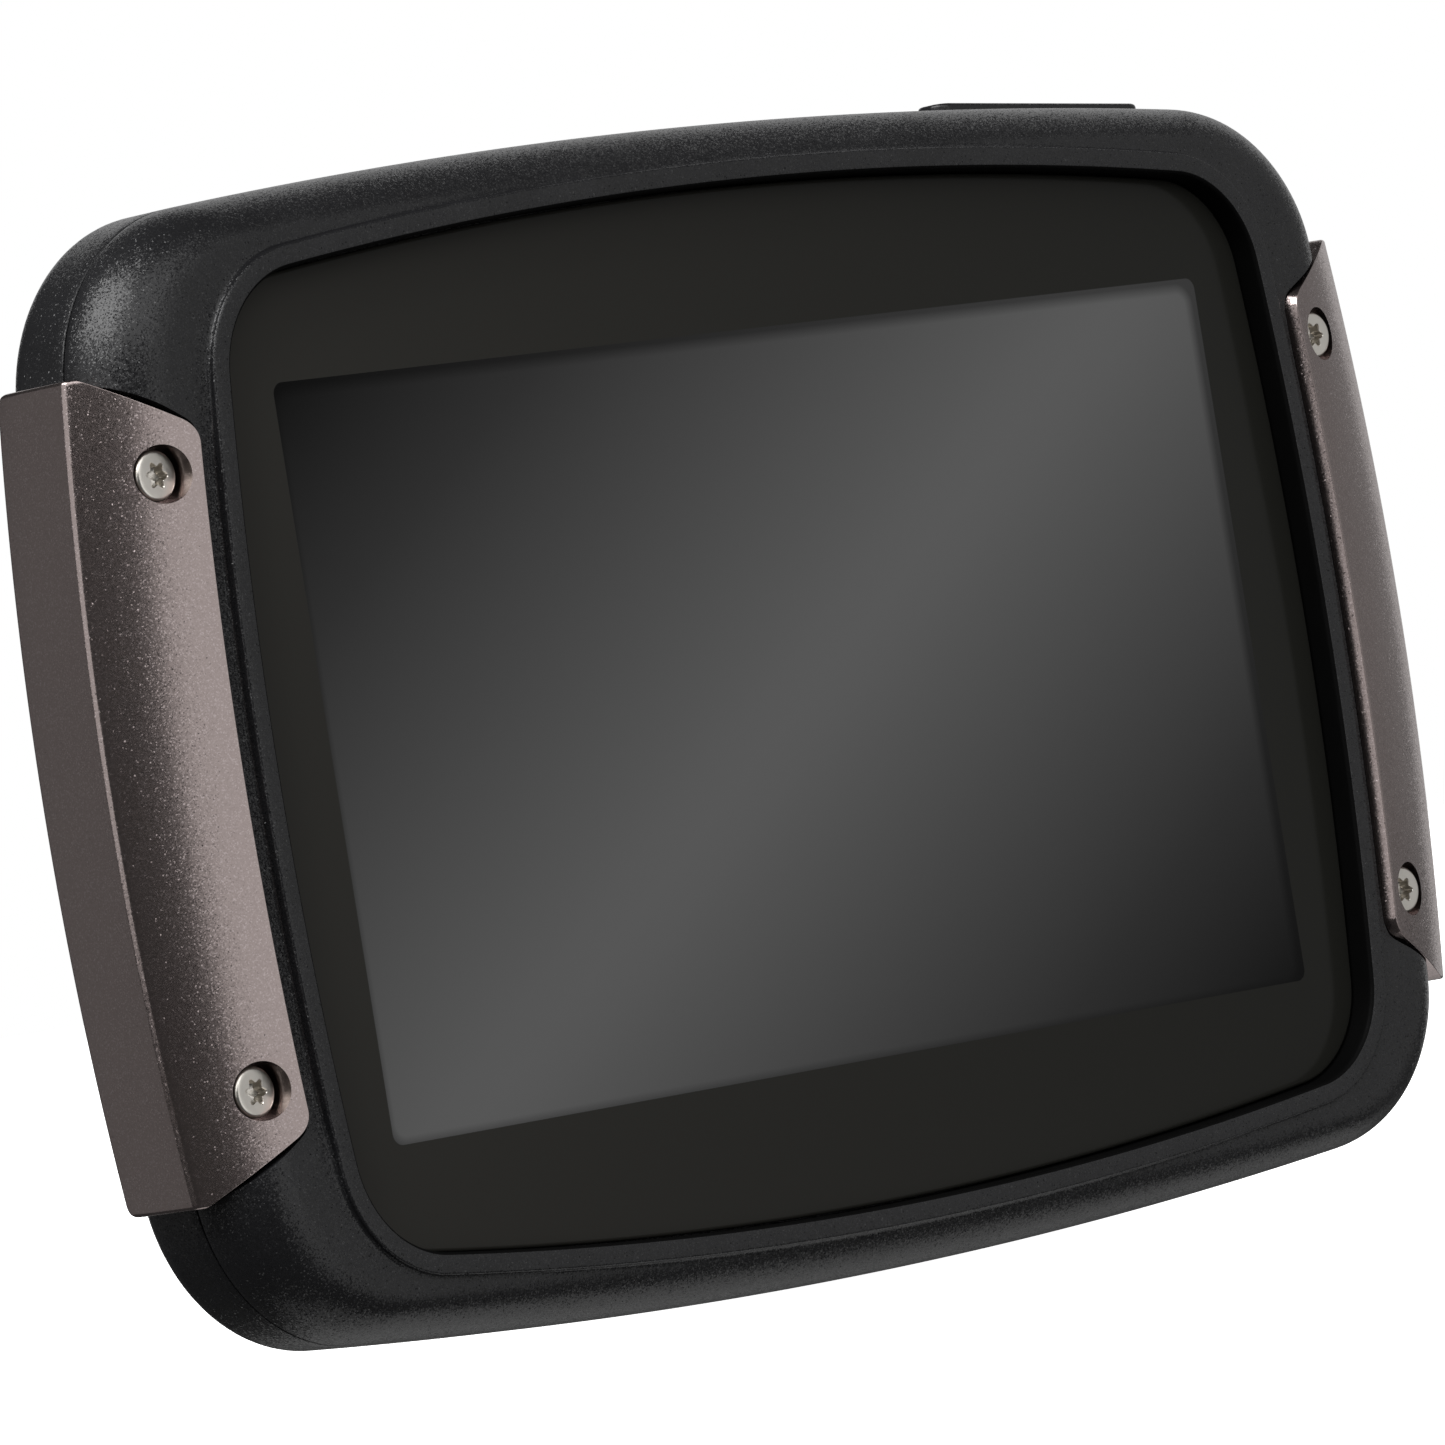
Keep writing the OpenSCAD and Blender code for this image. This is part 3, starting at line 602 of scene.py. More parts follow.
def paint_mouth_shade(shell, material):
    """Gives the wall between the rim and the glass a smoother near-black material, painted shade
    for the deep recess.
    """
    # a face counts as wall if its normal's depth part is under this, on the mouth's round edge
    # and below it; past is how far outside the glass the wall may lie
    edge_steep, wall_steep, past = 0.9, 0.2, 0.5
    shell.data.materials.append(material)
    for face in shell.data.polygons:
        centre = face.center - SHIFT
        inward = face.normal.x * centre.x + face.normal.z * centre.z < 0
        limit = edge_steep if centre.y / MM < FRONT + MOUTH_R else wall_steep
        near = abs(centre.x) / MM < GLASS_W + past and abs(centre.z) / MM < GLASS_H + past
        if inward and near and abs(face.normal.y) < limit:
            face.material_index = 1


def make_front_shell(material, mouth_shade_material):
    shell = build("front_shell", loft(front_rings()))
    for side in (-1, 1):
        combine(shell, slab(grip_outline(side), FRONT - 3 * PAST, POCKET_FLOOR))
        for z in (-SCREW_Z, SCREW_Z):
            combine(shell, rod(side * SCREW_X, z, POST_R, SEAM - PAST, POST_BACK),
                    operation="UNION")
            combine(shell, rod(side * SCREW_X, z, INSERT_HOLE_R, GRIP_FLOOR - PAST,
                               INSERT_HOLE_END))
    combine(shell, slab(round_rect(*DISPLAY_OPENING), FRONT - PAST, SEAM + PAST))
    combine(shell, slab(round_rect(*FRAME_OPENING), LEDGE_BACK, SEAM + PAST))
    finish_piece(shell, "case", "housing_plastic", material, "front_housing")
    paint_mouth_shade(shell, mouth_shade_material)


def rear_rings(thick):
    """Rings of the rear shell's skin, a thickness inside its outer face, from the seam back."""
    outer, flat = outline(CASE_LINE), outline(BACK_LINE)

    def at(distance, depth):
        return ring(blend(outer, flat, distance / DOME_RUN), depth)

    rings = []
    if thick:
        rings.append(at(thick, SEAM - PAST))
    else:
        rings += [at(SEAM_R * (1 - math.sin(a)), SEAM + SEAM_GAP + SEAM_R * (1 - math.cos(a)))
                  for a in turns(4)]
    rings += [at(thick, y) for y in (5.5, 7.0, EDGE_Y)]
    for a in np.linspace(0, EDGE_TURN, 9)[1:]:
        r = EDGE_R - thick
        rings.append(at(EDGE_R - r * math.cos(a), EDGE_Y + r * math.sin(a)))
    inner_r = DOME_R - thick
    for a in np.linspace(EDGE_TURN, math.pi / 2, 17)[1:]:
        distance = DOME_IN + DOME_R * math.cos(EDGE_TURN) - inner_r * math.cos(a)
        rings.append(at(distance, SHELL_BACK - thick - inner_r * (1 - math.sin(a))))
    return rings


# ---------------------------------------------------------------- grips

def grip_inner(z):
    """A right-hand grip's inner edge in the CAD, at a height z."""
    return GRIP_X - GRIP_FRONT - z * z / (2 * GRIP_INNER_R)


def grip_ridge(z):
    """A right-hand grip's outermost edge, at a height z."""
    return GRIP_X - z * z / (2 * GRIP_SIDE_R)


def grip_boundary():
    """Inner edge of the upper half of a right-hand grip's face, as (x, z) with rising z."""
    z = np.linspace(0, GRIP_CORNER, 40)
    arc = np.stack([grip_inner(z) + BEVEL_IN, z], 1)
    start = arc[-1]
    pull = start + BEND_PULL
    end = start + BEND_END
    t = np.linspace(0, 1, 13)[1:, None]
    corner = (1 - t) ** 2 * start + 2 * t * (1 - t) * pull + t ** 2 * end
    tip = np.array([[grip_ridge(GRIP_HALF) - END_FLAT, GRIP_HALF]])
    return np.concatenate([arc, corner, tip])


def grip_rows():
    """Heights of a grip's sections, close together at its corners and ends."""
    near_tip = GRIP_HALF - GRIP_END_R
    top = np.concatenate([np.linspace(0, GRIP_CORNER, 46)[1:],
                          np.linspace(GRIP_CORNER, BEND_TOP, 12)[1:],
                          np.linspace(BEND_TOP, near_tip, 16)[1:],
                          near_tip + GRIP_END_R * np.sin(turns(9))[1:]])
    return np.concatenate([-top[::-1], [0.0], top])


def end_tuck(z, r):
    """How far a grip's end, rounded by r, has drawn in at a height z."""
    return r - math.sqrt(max(r ** 2 - max(abs(z) - GRIP_HALF + r, 0) ** 2, 0))


def grip_section(z):
    """At a height z: the face's inner and outer edges, the end's tuck, the inner edge's stretch.

    The stretch is the length of the leaning edge over its rise."""
    half = grip_boundary()
    left = np.interp(abs(z), half[:, 1], half[:, 0])
    lean = (np.interp(abs(z) + PROBE, half[:, 1], half[:, 0]) - left) / PROBE
    tuck = end_tuck(z, TIP_R)
    right = grip_ridge(z) - tuck
    return left, right, tuck, math.sqrt(1 + lean * lean)


def grip_front(x, z):
    """Depth of a grip's outer face."""
    inner = grip_inner(z)
    u = (x - inner) / (grip_ridge(z) - inner) * GRIP_FRONT
    return FRONT + GRIP_SLOPE * u + GRIP_CURVE * u * u


def bevel_run(stretch):
    """How far the bevel reaches along X where the inner edge has this stretch."""
    return BEVEL_RUN * min(stretch, MOST_STRETCH)


def grip_outline(side):
    """A grip's pocket in the front shell, a gap wider than the foot of the grip's bevel."""
    line = []
    for z in grip_rows():
        left, _, _, stretch = grip_section(z)
        line.append((left - bevel_run(stretch) - POCKET_GAP * stretch, z))
    end, out = GRIP_HALF + POCKET_GAP, GRIP_X + 6 * PAST
    line = [(out, -end), (line[0][0], -end)] + line + [(line[-1][0], end), (out, end)]
    return (np.array(line) * [side, 1])[::side]


def grip_solid():
    """A right-hand grip, row by row up its length, every edge rounded."""
    # radii of the ridge and of the edge behind it, the bevel's softness, and the least room
    # that the wall at the grip's back keeps
    ridge_r, rear_r, soft, room = 0.42, 0.25, 0.04, 0.02
    rows = []
    for z in grip_rows():
        left, right, tuck, stretch = grip_section(z)
        rear_y = GRIP_BACK - end_tuck(z, GRIP_END_R)

        def front(x):
            return grip_front(x, z) + tuck

        # the bevel and its two soft edges
        base = left - bevel_run(stretch)
        low, top = np.array([base, front(left) + BEVEL_DROP]), np.array([left, front(left)])
        rise = (top - low) * soft
        section = [(base, GRIP_FLOOR), (base, low[1] + soft)]
        section += [tuple(p) for p in (low + rise * 0.25 + [0, soft * 0.25], low + rise)]
        section += [tuple(low + (top - low) * t) for t in (0.35, 0.6, 0.82)]
        before, after = top - rise, np.array([left + soft * stretch, front(left + soft * stretch)])
        for t in np.linspace(0, 1, 6):
            section.append(tuple((1 - t) ** 2 * before + 2 * t * (1 - t) * top + t * t * after))
        # the face, the ridge, the outer side and the back
        slope = (front(right) - front(right - PROBE)) / PROBE
        run = ridge_r / math.sqrt(1 + slope * slope)
        start = left + soft * stretch
        for t in np.linspace(0, 1, 40)[1:]:
            x = start + (right - run - start) * t
            section.append((x, front(x)))
        corner = np.array([right, front(right)])
        before, after = corner - [run, slope * run], corner + [0, ridge_r]
        for t in np.linspace(0, 1, 7)[1:]:
            section.append(tuple((1 - t) ** 2 * before + 2 * t * (1 - t) * corner + t * t * after))
        for t in (0.33, 0.66, 1.0):
            section.append((right, blend(corner[1] + ridge_r, rear_y - rear_r, t)))
        for a in turns(5)[1:]:
            section.append((right - rear_r * (1 - math.cos(a)),
                            rear_y - rear_r * (1 - math.sin(a))))
        wall = max(HALF_W - z * z / (2 * CASE_LINE[2]) + WALL_GAP, left)
        wall = min(wall, right - rear_r - room)
        section += [(wall, rear_y), (wall, GRIP_FLOOR + tuck)]
        rows.append(np.array([(x, y, z) for x, y in section]))
    return loft(rows)


def make_grip(name, side, material):
    points, faces = grip_solid()
    grip = build(name + "_cover", (points * [side, 1, 1], faces))
    for z in (-SCREW_Z, SCREW_Z):
        combine(grip, rod(side * SCREW_X, z, WELL_R, FRONT - 2 * PAST, HEAD_Y + HEAD_T, 80))
        combine(grip, rod(side * SCREW_X, z, SHANK_HOLE_R, FRONT - 2 * PAST, GRIP_FLOOR + PAST))
    finish_piece(grip, "case", "grip_paint", material, name, sharp=38)


# ---------------------------------------------------------------- screws and small parts

def star(x, z, size, steps):
    """Outline of a six-lobed recess, turned a little."""
    lobes, lobe, turn = 6, 0.17, 0.6
    a = np.arange(steps) * 2 * math.pi / steps
    r = size * (1 - lobe + lobe * np.cos(lobes * a + turn))
    return np.stack([x + r * np.cos(a), z + r * np.sin(a)], 1)


def screw(x, z, head_y, head_r, head_t, length, facing):
    """A screw along Y, its head's top at head_y; facing is -1 when the head looks to the front."""
    steps = 96
    edge, top_edge, shank_r, tip = 0.3, 0.06, 0.925, 0.3
    drive, drive_depth, drive_tip = 0.98, 0.95, 0.15
    down = -facing
    seat = head_y + down * head_t

    def disc(r, y):
        return ring(circle(x, z, r, steps), y)

    rings = [disc(shank_r * 0.7, seat + down * length),
             disc(shank_r, seat + down * (length - tip)), disc(shank_r, seat), disc(head_r, seat)]
    for a in turns(6):
        rings.append(disc(head_r - edge * (1 - math.cos(a)),
                          head_y + down * edge * (1 - math.sin(a))))
    rings.append(disc(head_r - edge - 0.2, head_y))
    rings.append(ring(star(x, z, drive + top_edge, steps), head_y))
    rings.append(ring(star(x, z, drive, steps), head_y + down * top_edge))
    rings.append(ring(star(x, z, drive, steps), head_y + down * drive_depth))
    rings.append(disc(0.2, head_y + down * (drive_depth + drive_tip)))
    return loft(rings)


def make_screws(name, positions, head_y, head_r, head_t, length, facing, material):
    screws = [screw(x, z, head_y, head_r, head_t, length, facing) for x, z in positions]
    finish_piece(build(name + "_detail", *screws), "case", "screw_steel", material, name, sharp=40)


def make_glass(material):
    edge, back_edge = 0.3, 0.1
    back = (glass_high.y - SHIFT.y) / MM
    rings = [ring(outline(inset(GLASS_LINE, back_edge)), back),
             ring(outline(GLASS_LINE), back - back_edge)]
    for a in turns(6):
        rings.append(ring(outline(inset(GLASS_LINE, edge * (1 - math.cos(a)))),
                          -GLASS_SINK + edge * (1 - math.sin(a))))
    pane = build("glass_pane", loft(rings))
    finish_piece(pane, "case", "cover_lens", material, "cover_glass")


# Power key: a rounded bar in a frame that lies on the case's top
KEY_X = 41.4
KEY_Y = 7.6
KEY_L = 22.5
KEY_W = 3.2
KEY_R = 1.2
KEY_PROUD = 0.93
KEY_FLOOR = -1.35
KEY_GAP = 0.2
KEY_TILT = math.asin(KEY_X / CASE_LINE[3])
KEY_FRAME = (Matrix.Translation((KEY_X, KEY_Y, HALF_H - CASE_LINE[3] * (1 - math.cos(KEY_TILT))))
             @ Matrix.Rotation(KEY_TILT, 4, "Y"))


def in_key_frame(solid):
    """A solid moved from the key's frame, Z out of the case, to the case's frame."""
    points, faces = solid
    turn = np.array(KEY_FRAME)
    return points @ turn[:3, :3].T + turn[:3, 3], faces


def key_outline(grow=0.0):
    """The key's (x, y) outline, grown by a distance."""
    return round_rect(KEY_L + 2 * grow, KEY_W + 2 * grow, max(KEY_R + grow, 0.3), 12)


def level(points, z):
    """A ring in the key's frame at height z, one or one each."""
    return np.stack([points[:, 0], points[:, 1], np.broadcast_to(z, len(points))], 1)


def make_power_key(material):
    """The cap, bowed like the case's top, and its stem."""
    edge, stem_r = 0.3, 1.5
    bow = 2 * (CASE_LINE[3] + KEY_PROUD)
    base = key_outline()
    rings = [level(base, -0.7), level(base, -0.2)]
    for a in turns(7):
        p = key_outline(-edge * (1 - math.cos(a)))
        rings.append(level(p, KEY_PROUD - p[:, 0] ** 2 / bow - edge * (1 - math.sin(a))))
    for share in (0.8, 0.55, 0.3):
        p = key_outline(-edge) * [1, share]
        rings.append(level(p, KEY_PROUD - p[:, 0] ** 2 / bow))
    section = circle(0, 0, stem_r, 48)
    stem = loft([level(section, -4.3), level(section, -0.5)])
    key = build("power_key", in_key_frame(loft(rings)), in_key_frame(stem))
    finish_piece(key, "button", "cap_plastic", material, "power_button")


# ---------------------------------------------------------------- rear shell with its openings

# Port cover: its hinge barrel with the gap round it, its half length and its back edge
BARREL_R = 1.15
BARREL_Y = 6.0
BARREL_Z = -HALF_H + BARREL_R
BARREL_GAP = 0.2
PIN_R = 0.5
PIN_HOLE_R = 0.55
COVER_HALF = 16.0
COVER_BACK = 10.6
SEAT_TOP = BARREL_Z + BARREL_R + BARREL_GAP
# Port openings and the cover's plugs for them: the middle along X, the width and the depths or
# thickness
PORT_OPENINGS = ((-8.75, 8.4, 6.75, 9.95), (6, 12.6, 7.25, 9.45))
PORT_PLUGS = ((-8.75, 6.8, 1.7), (6, 10.8, 0.8))
PORT_Y = 8.35
# Case screws
CASE_SCREWS = [(x, z) for x in (-56.4, 56.4) for z in (-32, 32)]
CASE_SEAT = 11.5
CASE_HEAD_R = 1.9
CASE_HEAD_T = 1.3
CASE_SCREW_L = 9
CASE_BORE_R = 2.2
CASE_HOLE_R = 1.15
CASE_BOSS_R = 3.4
BOARD_BACK = 6.95
# Dock block: its wall, and the window for the contacts
DOCK_WALL = 2
DOCK_CORNER = 6
CONTACT_WINDOW = (26, 10, 2, 12)


def make_rear_shell(material):
    shell = build("rear_shell", loft(rear_rings(0)))
    # the hollow, less the screw bosses, the port block and the key's block
    hollow = build("hollow", loft(rear_rings(WALL)))
    for x, z in CASE_SCREWS:
        combine(hollow, rod(x, z, CASE_BOSS_R, BOARD_BACK, BACK))
    combine(hollow, block(-21, 21, SEAM - 2 * PAST, 12, -44, -39.2))
    combine(hollow, in_key_frame(loft([level(round_rect(26.8, 6, 0.2), z) for z in (-4, 0)])))
    combine(shell, (np.array([v.co for v in hollow.data.vertices]),
                    [list(p.vertices) for p in hollow.data.polygons]))
    bpy.data.objects.remove(hollow)
    for x, z in CASE_SCREWS:
        combine(shell, rod(x, z, CASE_BORE_R, CASE_SEAT, BACK, 80),
                rod(x, z, CASE_HOLE_R, SEAM - PAST, CASE_SEAT + PAST))
    # the window for the dock's flat cable, the vent and the key's pocket
    combine(shell, slab(round_rect(34, 34, 3), SHELL_BACK - 3, SHELL_BACK + PAST))
    combine(shell, rod(-36, 10, 0.6, SHELL_BACK - 4, SHELL_BACK + PAST))
    combine(shell, in_key_frame(loft([level(key_outline(KEY_GAP), z) for z in (KEY_FLOOR, 5)])))
    # the port cover's seat, its hinge groove and pin holes, the ports and a nail notch
    reach = BARREL_R + BARREL_GAP
    half = COVER_HALF + BARREL_GAP
    under = -50
    combine(shell, block(-half, half, BARREL_Y, COVER_BACK + 0.25, under, SEAT_TOP),
            block(-half, half, BARREL_Y - reach, BARREL_Y + PAST, under, BARREL_Z),
            bar(half, BARREL_Y, BARREL_Z, reach),
            bar(COVER_HALF + 1.5, BARREL_Y, BARREL_Z, PIN_HOLE_R),
            *[slab(round_rect(w, 7, 0.8, x=x, z=-41.5), y0, y1) for x, w, y0, y1 in PORT_OPENINGS],
            bar(4, COVER_BACK + 1.1, -HALF_H + 0.5, 1.3))
    finish_piece(shell, "case", "housing_plastic", material, "rear_housing")


def cover_profile(edge):
    """The port cover's section, (depth, height) from its hinge: the barrel and the slab behind."""
    top = SEAT_TOP - 0.06 - BARREL_Z
    far = COVER_BACK - BARREL_Y
    points = [(BARREL_R * math.cos(a), BARREL_R * math.sin(a)) for a in turns(15, 150, 270)]
    points += [(far - edge + edge * math.cos(a), -BARREL_R + edge + edge * math.sin(a))
               for a in turns(6, 270, 360)]
    points += [(far - edge + edge * math.cos(a), top - edge + edge * math.sin(a))
               for a in turns(6, 0, 90)]
    return np.array(points + [(0.3, top), (0.0, BARREL_R)])


def make_port_cover(material):
    """Rubber flap: a round barrel at its front edge, a slab behind it, and two plugs."""
    edge = 0.35
    profile = cover_profile(edge)
    middle = profile.mean(0)
    away = profile - middle
    # stations along X as (place, how far the section has shrunk). At each end the first ring is
    # the end cap, and the rounding lies in front of it.
    ends = [(COVER_HALF - edge * (1 - math.sin(a)), edge * (1 - math.cos(a))) for a in turns(5)]
    stations = [(-x, shrink) for x, shrink in ends]
    stations += [(t * COVER_HALF, 0.0) for t in np.linspace(-0.95, 0.95, 30)] + ends[::-1]
    rings = []
    for x, shrink in stations:
        p = middle + away * (1 - shrink / np.abs(away).max(0))
        # its underside follows the bow of the case's bottom edge
        lift = x * x / (2 * CASE_LINE[3])
        low = np.clip((0.4 - p[:, 1]) / 1.2, 0, 1)
        rings.append(np.stack([np.full(len(p), x), BARREL_Y + p[:, 0],
                               BARREL_Z + p[:, 1] + lift * low], 1))
    plugs = []
    for x, w, t in PORT_PLUGS:
        section = round_rect(w, t, t / 2 - 0.05, x=x, z=PORT_Y)
        plugs.append(loft([level(section, z) for z in (SEAT_TOP - 0.3, SEAT_TOP + 0.9)]))
    pins = bar(COVER_HALF + 1.3, BARREL_Y, BARREL_Z, PIN_R)
    cover = build("port_flap", loft(rings), *plugs, pins)
    finish_piece(cover, "cover", "rubber_seal", material, "port_cover")


def make_dock_block(material):
    edge, wall = 1.1, 2 * DOCK_WALL
    w, h = block_high.x * 2 / MM, (block_high.z - block_low.z) / MM
    side_line = round_rect(w, h, DOCK_CORNER, 16)
    rings = [ring(side_line, SHELL_BACK), ring(side_line, BACK - edge - 0.2)]
    for a in turns(8):
        d = edge * (1 - math.cos(a))
        rings.append(ring(round_rect(w - 2 * d, h - 2 * d, DOCK_CORNER - d, 16),
                          BACK - edge * (1 - math.sin(a))))
    piece = build("dock_housing", loft(rings))
    combine(piece, slab(round_rect(w - wall, h - wall, DOCK_CORNER - DOCK_WALL), SHELL_BACK - PAST,
                        BACK - DOCK_WALL))
    combine(piece, slab(round_rect(*CONTACT_WINDOW), BACK - DOCK_WALL - PAST, BACK + PAST))
    # a latch notch in each short side
    notch = 1.2
    for side in (-1, 1):
        combine(piece, block(side * w / 2 - notch, side * w / 2 + notch, SHELL_BACK + 2,
                             SHELL_BACK + 4.6, -6, 6))
    finish_piece(piece, "case", "housing_plastic", material, "dock_block")


def make_dock_plate(material):
    """The plate that carries the contacts, with a step that fills the block's window."""
    edge, thick, proud = 0.25, 1.2, 0.7
    foot, step_size = (30, 14, 3, 12), (25.7, 9.7, 1.85)
    seat = BACK - DOCK_WALL
    rings = [ring(round_rect(*foot), seat - thick), ring(round_rect(*foot), seat),
             ring(round_rect(*step_size, 12), seat)]
    for a in turns(5):
        d = edge * (1 - math.cos(a))
        w, h, r = step_size
        rings.append(ring(round_rect(w - 2 * d, h - 2 * d, r - d, 12),
                          seat + proud - edge * (1 - math.sin(a))))
    plate = build("contact_carrier", loft(rings))
    finish_piece(plate, "case", "cap_plastic", material, "dock_plate")


def make_contacts(material):
    """Eight round-nosed contacts in two rows."""
    pin_r, nose, proud, length = 0.9, 0.35, 0.95, 1.6
    seat = BACK - DOCK_WALL
    pins = []
    for x in (-9, -3, 3, 9):
        for z in (-2.2, 2.2):
            rings = [ring(circle(x, z, pin_r, 48), seat - length)]
            for a in turns(6):
                r = pin_r - nose * (1 - math.cos(a))
                rings.append(ring(circle(x, z, r, 48), seat + proud - nose * (1 - math.sin(a))))
            pins.append(loft(rings))
    finish_piece(build("contact_pins", *pins), "case", "gold_plate", material, "dock_contacts")


# ---------------------------------------------------------------- put together

housing = grained_plastic("housing_plastic", (0.0095, 0.0095, 0.0105))
cap = grained_plastic("cap_plastic", (0.009, 0.009, 0.010), 0.16, 0.3)
rubber = grained_plastic("rubber_seal", (0.012, 0.012, 0.013), 0.3, 0.2, (0.6, 0.75), 0.35)
paint = metallic_paint()
steel = smooth_material("screw_steel", (0.66, 0.63, 0.58), 1.0, 0.3, 0.3, 0.01)
gold = smooth_material("gold_plate", (0.85, 0.62, 0.25), 1.0, 0.22)
# near-black painted shade for the wall between the rim and the glass
recess = smooth_material("recess_painted_shade", (0.002, 0.002, 0.002), 0.0, 0.6, level=0.05)

make_front_shell(housing, recess)
make_rear_shell(housing)
make_grip("left_grip", -1, paint)
make_grip("right_grip", 1, paint)
make_glass(screen_glass())
make_screws("grip_screws", [(x, z) for x in (-SCREW_X, SCREW_X) for z in (-SCREW_Z, SCREW_Z)],
            HEAD_Y, HEAD_R, HEAD_T, GRIP_SCREW_L, -1, steel)
make_screws("case_screws", CASE_SCREWS, CASE_SEAT + CASE_HEAD_T, CASE_HEAD_R, CASE_HEAD_T,
            CASE_SCREW_L, 1, steel)
make_power_key(cap)
make_port_cover(rubber)
make_dock_block(housing)
make_dock_plate(cap)
make_contacts(gold)

# Inner pieces keep their CAD shape and take a finish each, by material slot: colour, metallic,
# roughness and, where it isn't the usual fine grain, the grain's size and depth
FINISHES = {
    "insert_brass": ((0.72, 0.50, 0.20), 1.0, 0.3),
    "foam": ((0.03, 0.03, 0.032), 0.0, 0.85, 0.3, 0.05),
    "clear_film": ((0.20, 0.22, 0.24), 0.0, 0.15),
    "flex_film": ((0.55, 0.27, 0.05), 0.0, 0.25),
    "display_cell": ((0.03, 0.032, 0.036), 0.0, 0.12),
    "diffuser": ((0.85, 0.85, 0.83), 0.0, 0.6),
    "pressed_metal": ((0.62, 0.63, 0.64), 1.0, 0.35),
    "cast_frame": ((0.50, 0.52, 0.53), 1.0, 0.5, 0.4, 0.03),
    "circuit_board": ((0.015, 0.16, 0.06), 0.0, 0.3, 0.6, 0.01),
    "chip": ((0.018, 0.018, 0.02), 0.0, 0.5, 0.2, 0.01),
    "tin_plate": ((0.70, 0.71, 0.72), 1.0, 0.3),
    "ceramic": ((0.62, 0.52, 0.38), 0.0, 0.5),
    "cell_pouch": ((0.50, 0.53, 0.57), 1.0, 0.4, 1.5, 0.05),
    "red_wire": ((0.45, 0.02, 0.015), 0.0, 0.4),
    "nylon": ((0.78, 0.75, 0.64), 0.0, 0.45),
    "membrane": ((0.82, 0.82, 0.81), 0.0, 0.9, 0.2, 0.03),
}
inner = {name: smooth_material(name, *finish) for name, finish in FINISHES.items()}
inner.update(rubber_seal=rubber, screw_steel=steel)
slots = {part["node"]: part["material_slot"] for part in frame["record"]["subparts"]}
for name, node in frame["nodes"].items():
    if not node.hide_render:
        node.data.materials.clear()
        node.data.materials.append(inner[slots[name]])

# ---------------------------------------------------------------- floor, lights, camera

WHITE = (1, 1, 1, 1)
FLOOR_SIZE = 6.0
FLOOR_DROP = 0.0004
LIGHT_DISTANCE = 3.0

# Camera: the photographed view of the middle of the case
VIEW_AZIMUTH = math.radians(-44.09)
VIEW_ELEVATION = math.radians(-0.635)
VIEW_ROLL = math.radians(-9.163)
VIEW_DISTANCE = 0.80135
VIEW_TARGET = SHIFT + Vector((-9.407, 0, -1.149)) * MM
VIEW_LENS = 268.15
VIEW_SENSOR = 36


def make_floor():
    """A pale floor just under the part, bright on its own, which throws nothing on the part."""
    corners = np.array([(-1, -1, 0), (1, -1, 0), (1, 1, 0), (-1, 1, 0)], float)
    floor = build("floor", (corners * FLOOR_SIZE / 2, [[0, 1, 2, 3]]))
    floor.location.z = -FLOOR_DROP
    material, tree, shader, coords = new_material("pale_floor")
    tint = ramp(tree, noise(tree, coords, 900, 2), (0.3, 0.90), (0.7, 0.92))
    tree.links.new(tint, shader.inputs["Base Color"])
    shader.inputs["Roughness"].default_value = 0.9
    shader.inputs["Specular IOR Level"].default_value = 0.0
    shader.inputs["Emission Color"].default_value = WHITE
    shader.inputs["Emission Strength"].default_value = 1.0
    floor.data.materials.append(material)
    floor.visible_glossy = False
    floor.visible_diffuse = False
    floor.visible_shadow = False


def make_world():
    """A white studio behind the part, which lights it only faintly."""
    world = bpy.data.worlds.new("studio")
    scene.world = world
    world.use_nodes = True
    tree = world.node_tree
    faint = next(n for n in tree.nodes if n.type == "BACKGROUND")
    seen = tree.nodes.new("ShaderNodeBackground")
    for node, strength in ((faint, 0.06), (seen, 1.0)):
        node.inputs["Color"].default_value = WHITE
        node.inputs["Strength"].default_value = strength
    path = tree.nodes.new("ShaderNodeLightPath")
    choose = tree.nodes.new("ShaderNodeMixShader")
    output = next(n for n in tree.nodes if n.type == "OUTPUT_WORLD")
    tree.links.new(path.outputs["Is Camera Ray"], choose.inputs["Fac"])
    tree.links.new(faint.outputs["Background"], choose.inputs[1])
    tree.links.new(seen.outputs["Background"], choose.inputs[2])
    tree.links.new(choose.outputs["Shader"], output.inputs["Surface"])


def from_front(azimuth, elevation):
    """The direction at an azimuth from the front towards +X and an elevation, in radians."""
    return Vector((math.sin(azimuth) * math.cos(elevation),
                   -math.cos(azimuth) * math.cos(elevation), math.sin(elevation)))


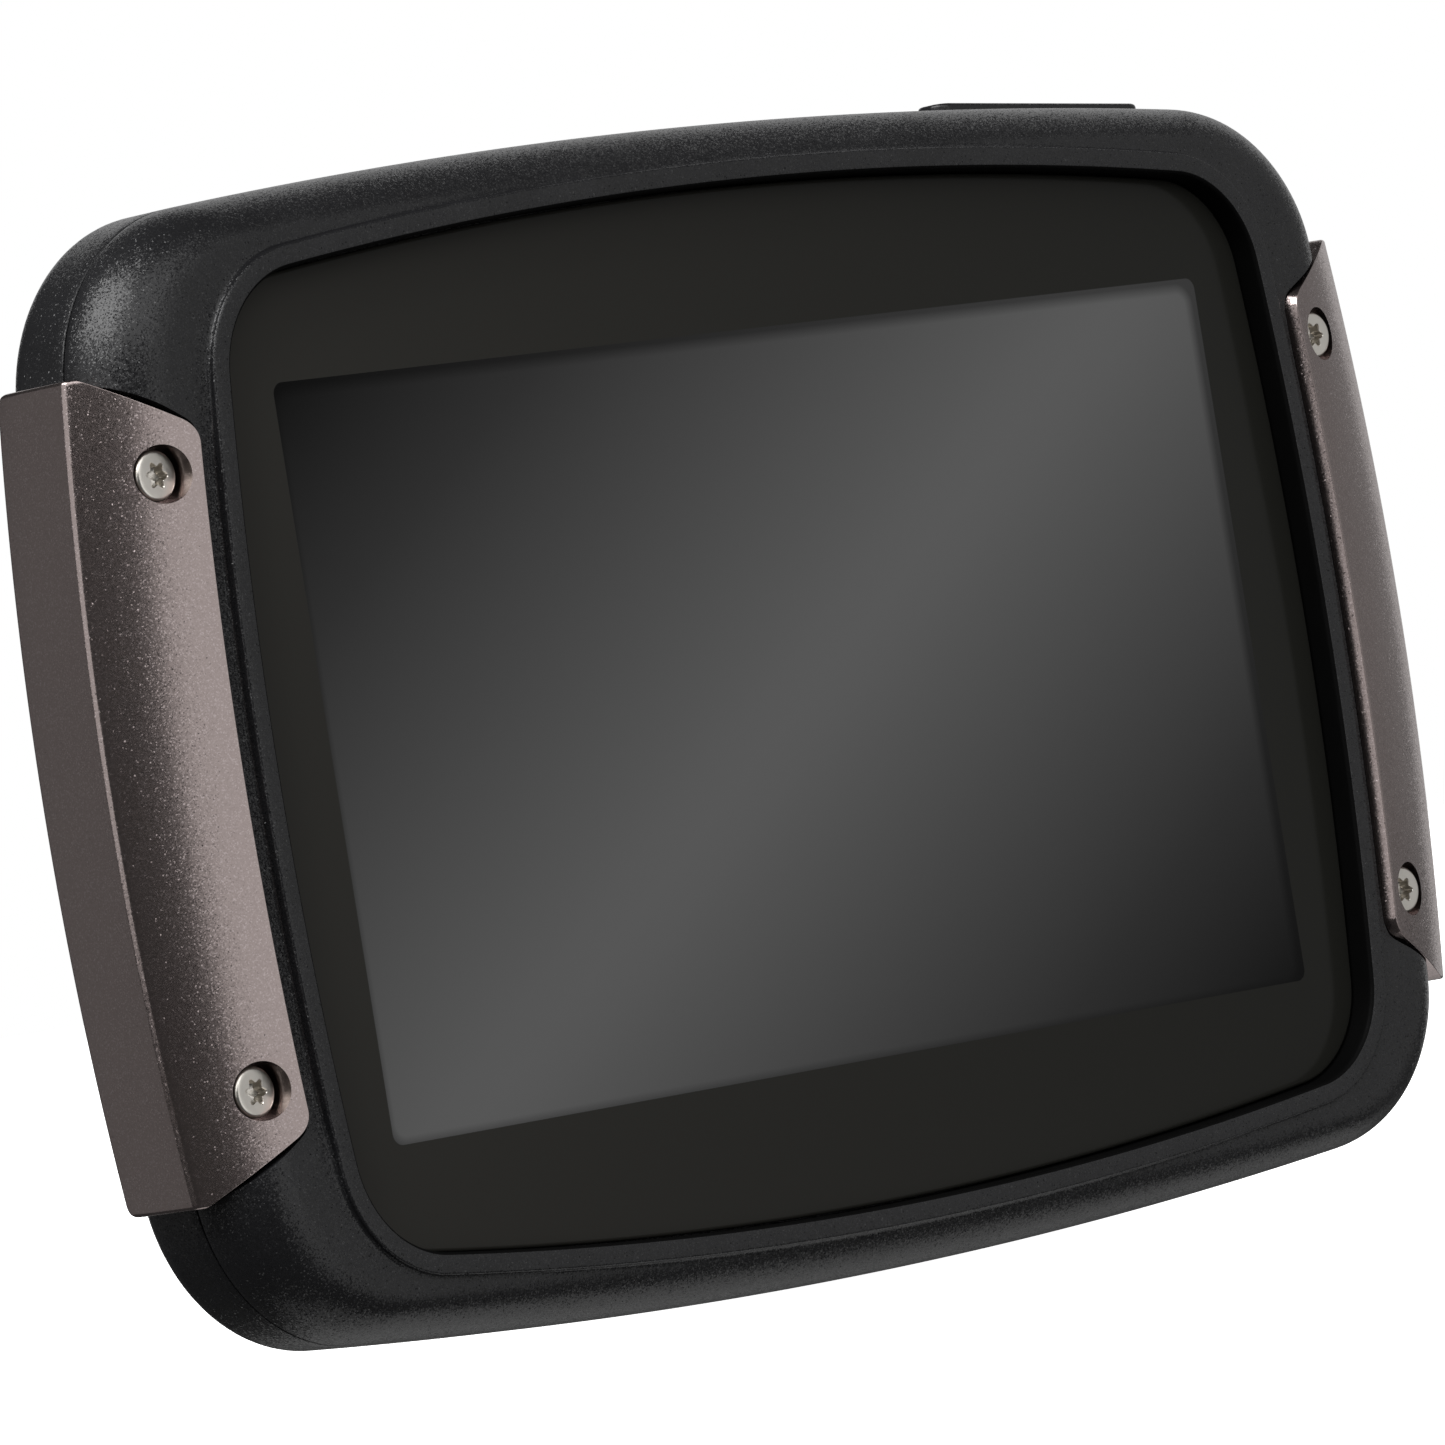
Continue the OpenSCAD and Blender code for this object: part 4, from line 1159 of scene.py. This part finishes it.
def softbox(name, azimuth, elevation, width, height, strength):
    """A rectangular light, in metres, at angles in degrees, aimed at the case's middle."""
    direction = from_front(math.radians(azimuth), math.radians(elevation))
    data = bpy.data.lights.new(name, "AREA")
    data.shape = "RECTANGLE"
    data.size, data.size_y = width, height
    data.energy = strength * width * height * math.pi
    light = bpy.data.objects.new(name, data)
    light.visible_camera = False
    scene.collection.objects.link(light)
    light.location = SHIFT + direction * LIGHT_DISTANCE
    light.rotation_euler = direction.to_track_quat("Z", "Y").to_euler()


def make_camera():
    back = from_front(VIEW_AZIMUTH, VIEW_ELEVATION)
    right = Vector((math.cos(VIEW_AZIMUTH), math.sin(VIEW_AZIMUTH), 0))
    up = back.cross(right)
    rolled_right = right * math.cos(VIEW_ROLL) + up * math.sin(VIEW_ROLL)
    rolled_up = up * math.cos(VIEW_ROLL) - right * math.sin(VIEW_ROLL)
    lens = bpy.data.cameras.new("camera")
    lens.sensor_width = VIEW_SENSOR
    lens.lens = VIEW_LENS
    lens.clip_start = 0.01
    camera = bpy.data.objects.new("camera", lens)
    scene.collection.objects.link(camera)
    turn = Matrix((rolled_right, rolled_up, back)).transposed()
    camera.matrix_world = Matrix.Translation(VIEW_TARGET + back * VIEW_DISTANCE) @ turn.to_4x4()
    scene.camera = camera


scene = bpy.context.scene
scene.view_settings.view_transform = "Standard"
make_floor()
make_world()
softbox("key_front", 13.5, 0, 1.8, 3.6, 0.95)
softbox("fill_right", 52, 0, 2.4, 3.6, 0.42)
softbox("dim_right", 86, 20, 1.2, 2.6, 0.25)
softbox("backdrop_right", 129, 16, 3.6, 2.6, 0.66)
softbox("overhead_left", -90, 52, 2.4, 1.8, 7.5)
softbox("overhead_front", -28, 40, 4.0, 2.4, 1.8)
softbox("left", -90, 12, 3.4, 1.8, 0.9)
softbox("left_rear", -142, 0, 1.6, 2.4, 0.17)
softbox("under_rear", 120, -45, 3.0, 2.0, 0.4)
softbox("under", 115, -76, 2.4, 2.4, 0.6)
make_camera()
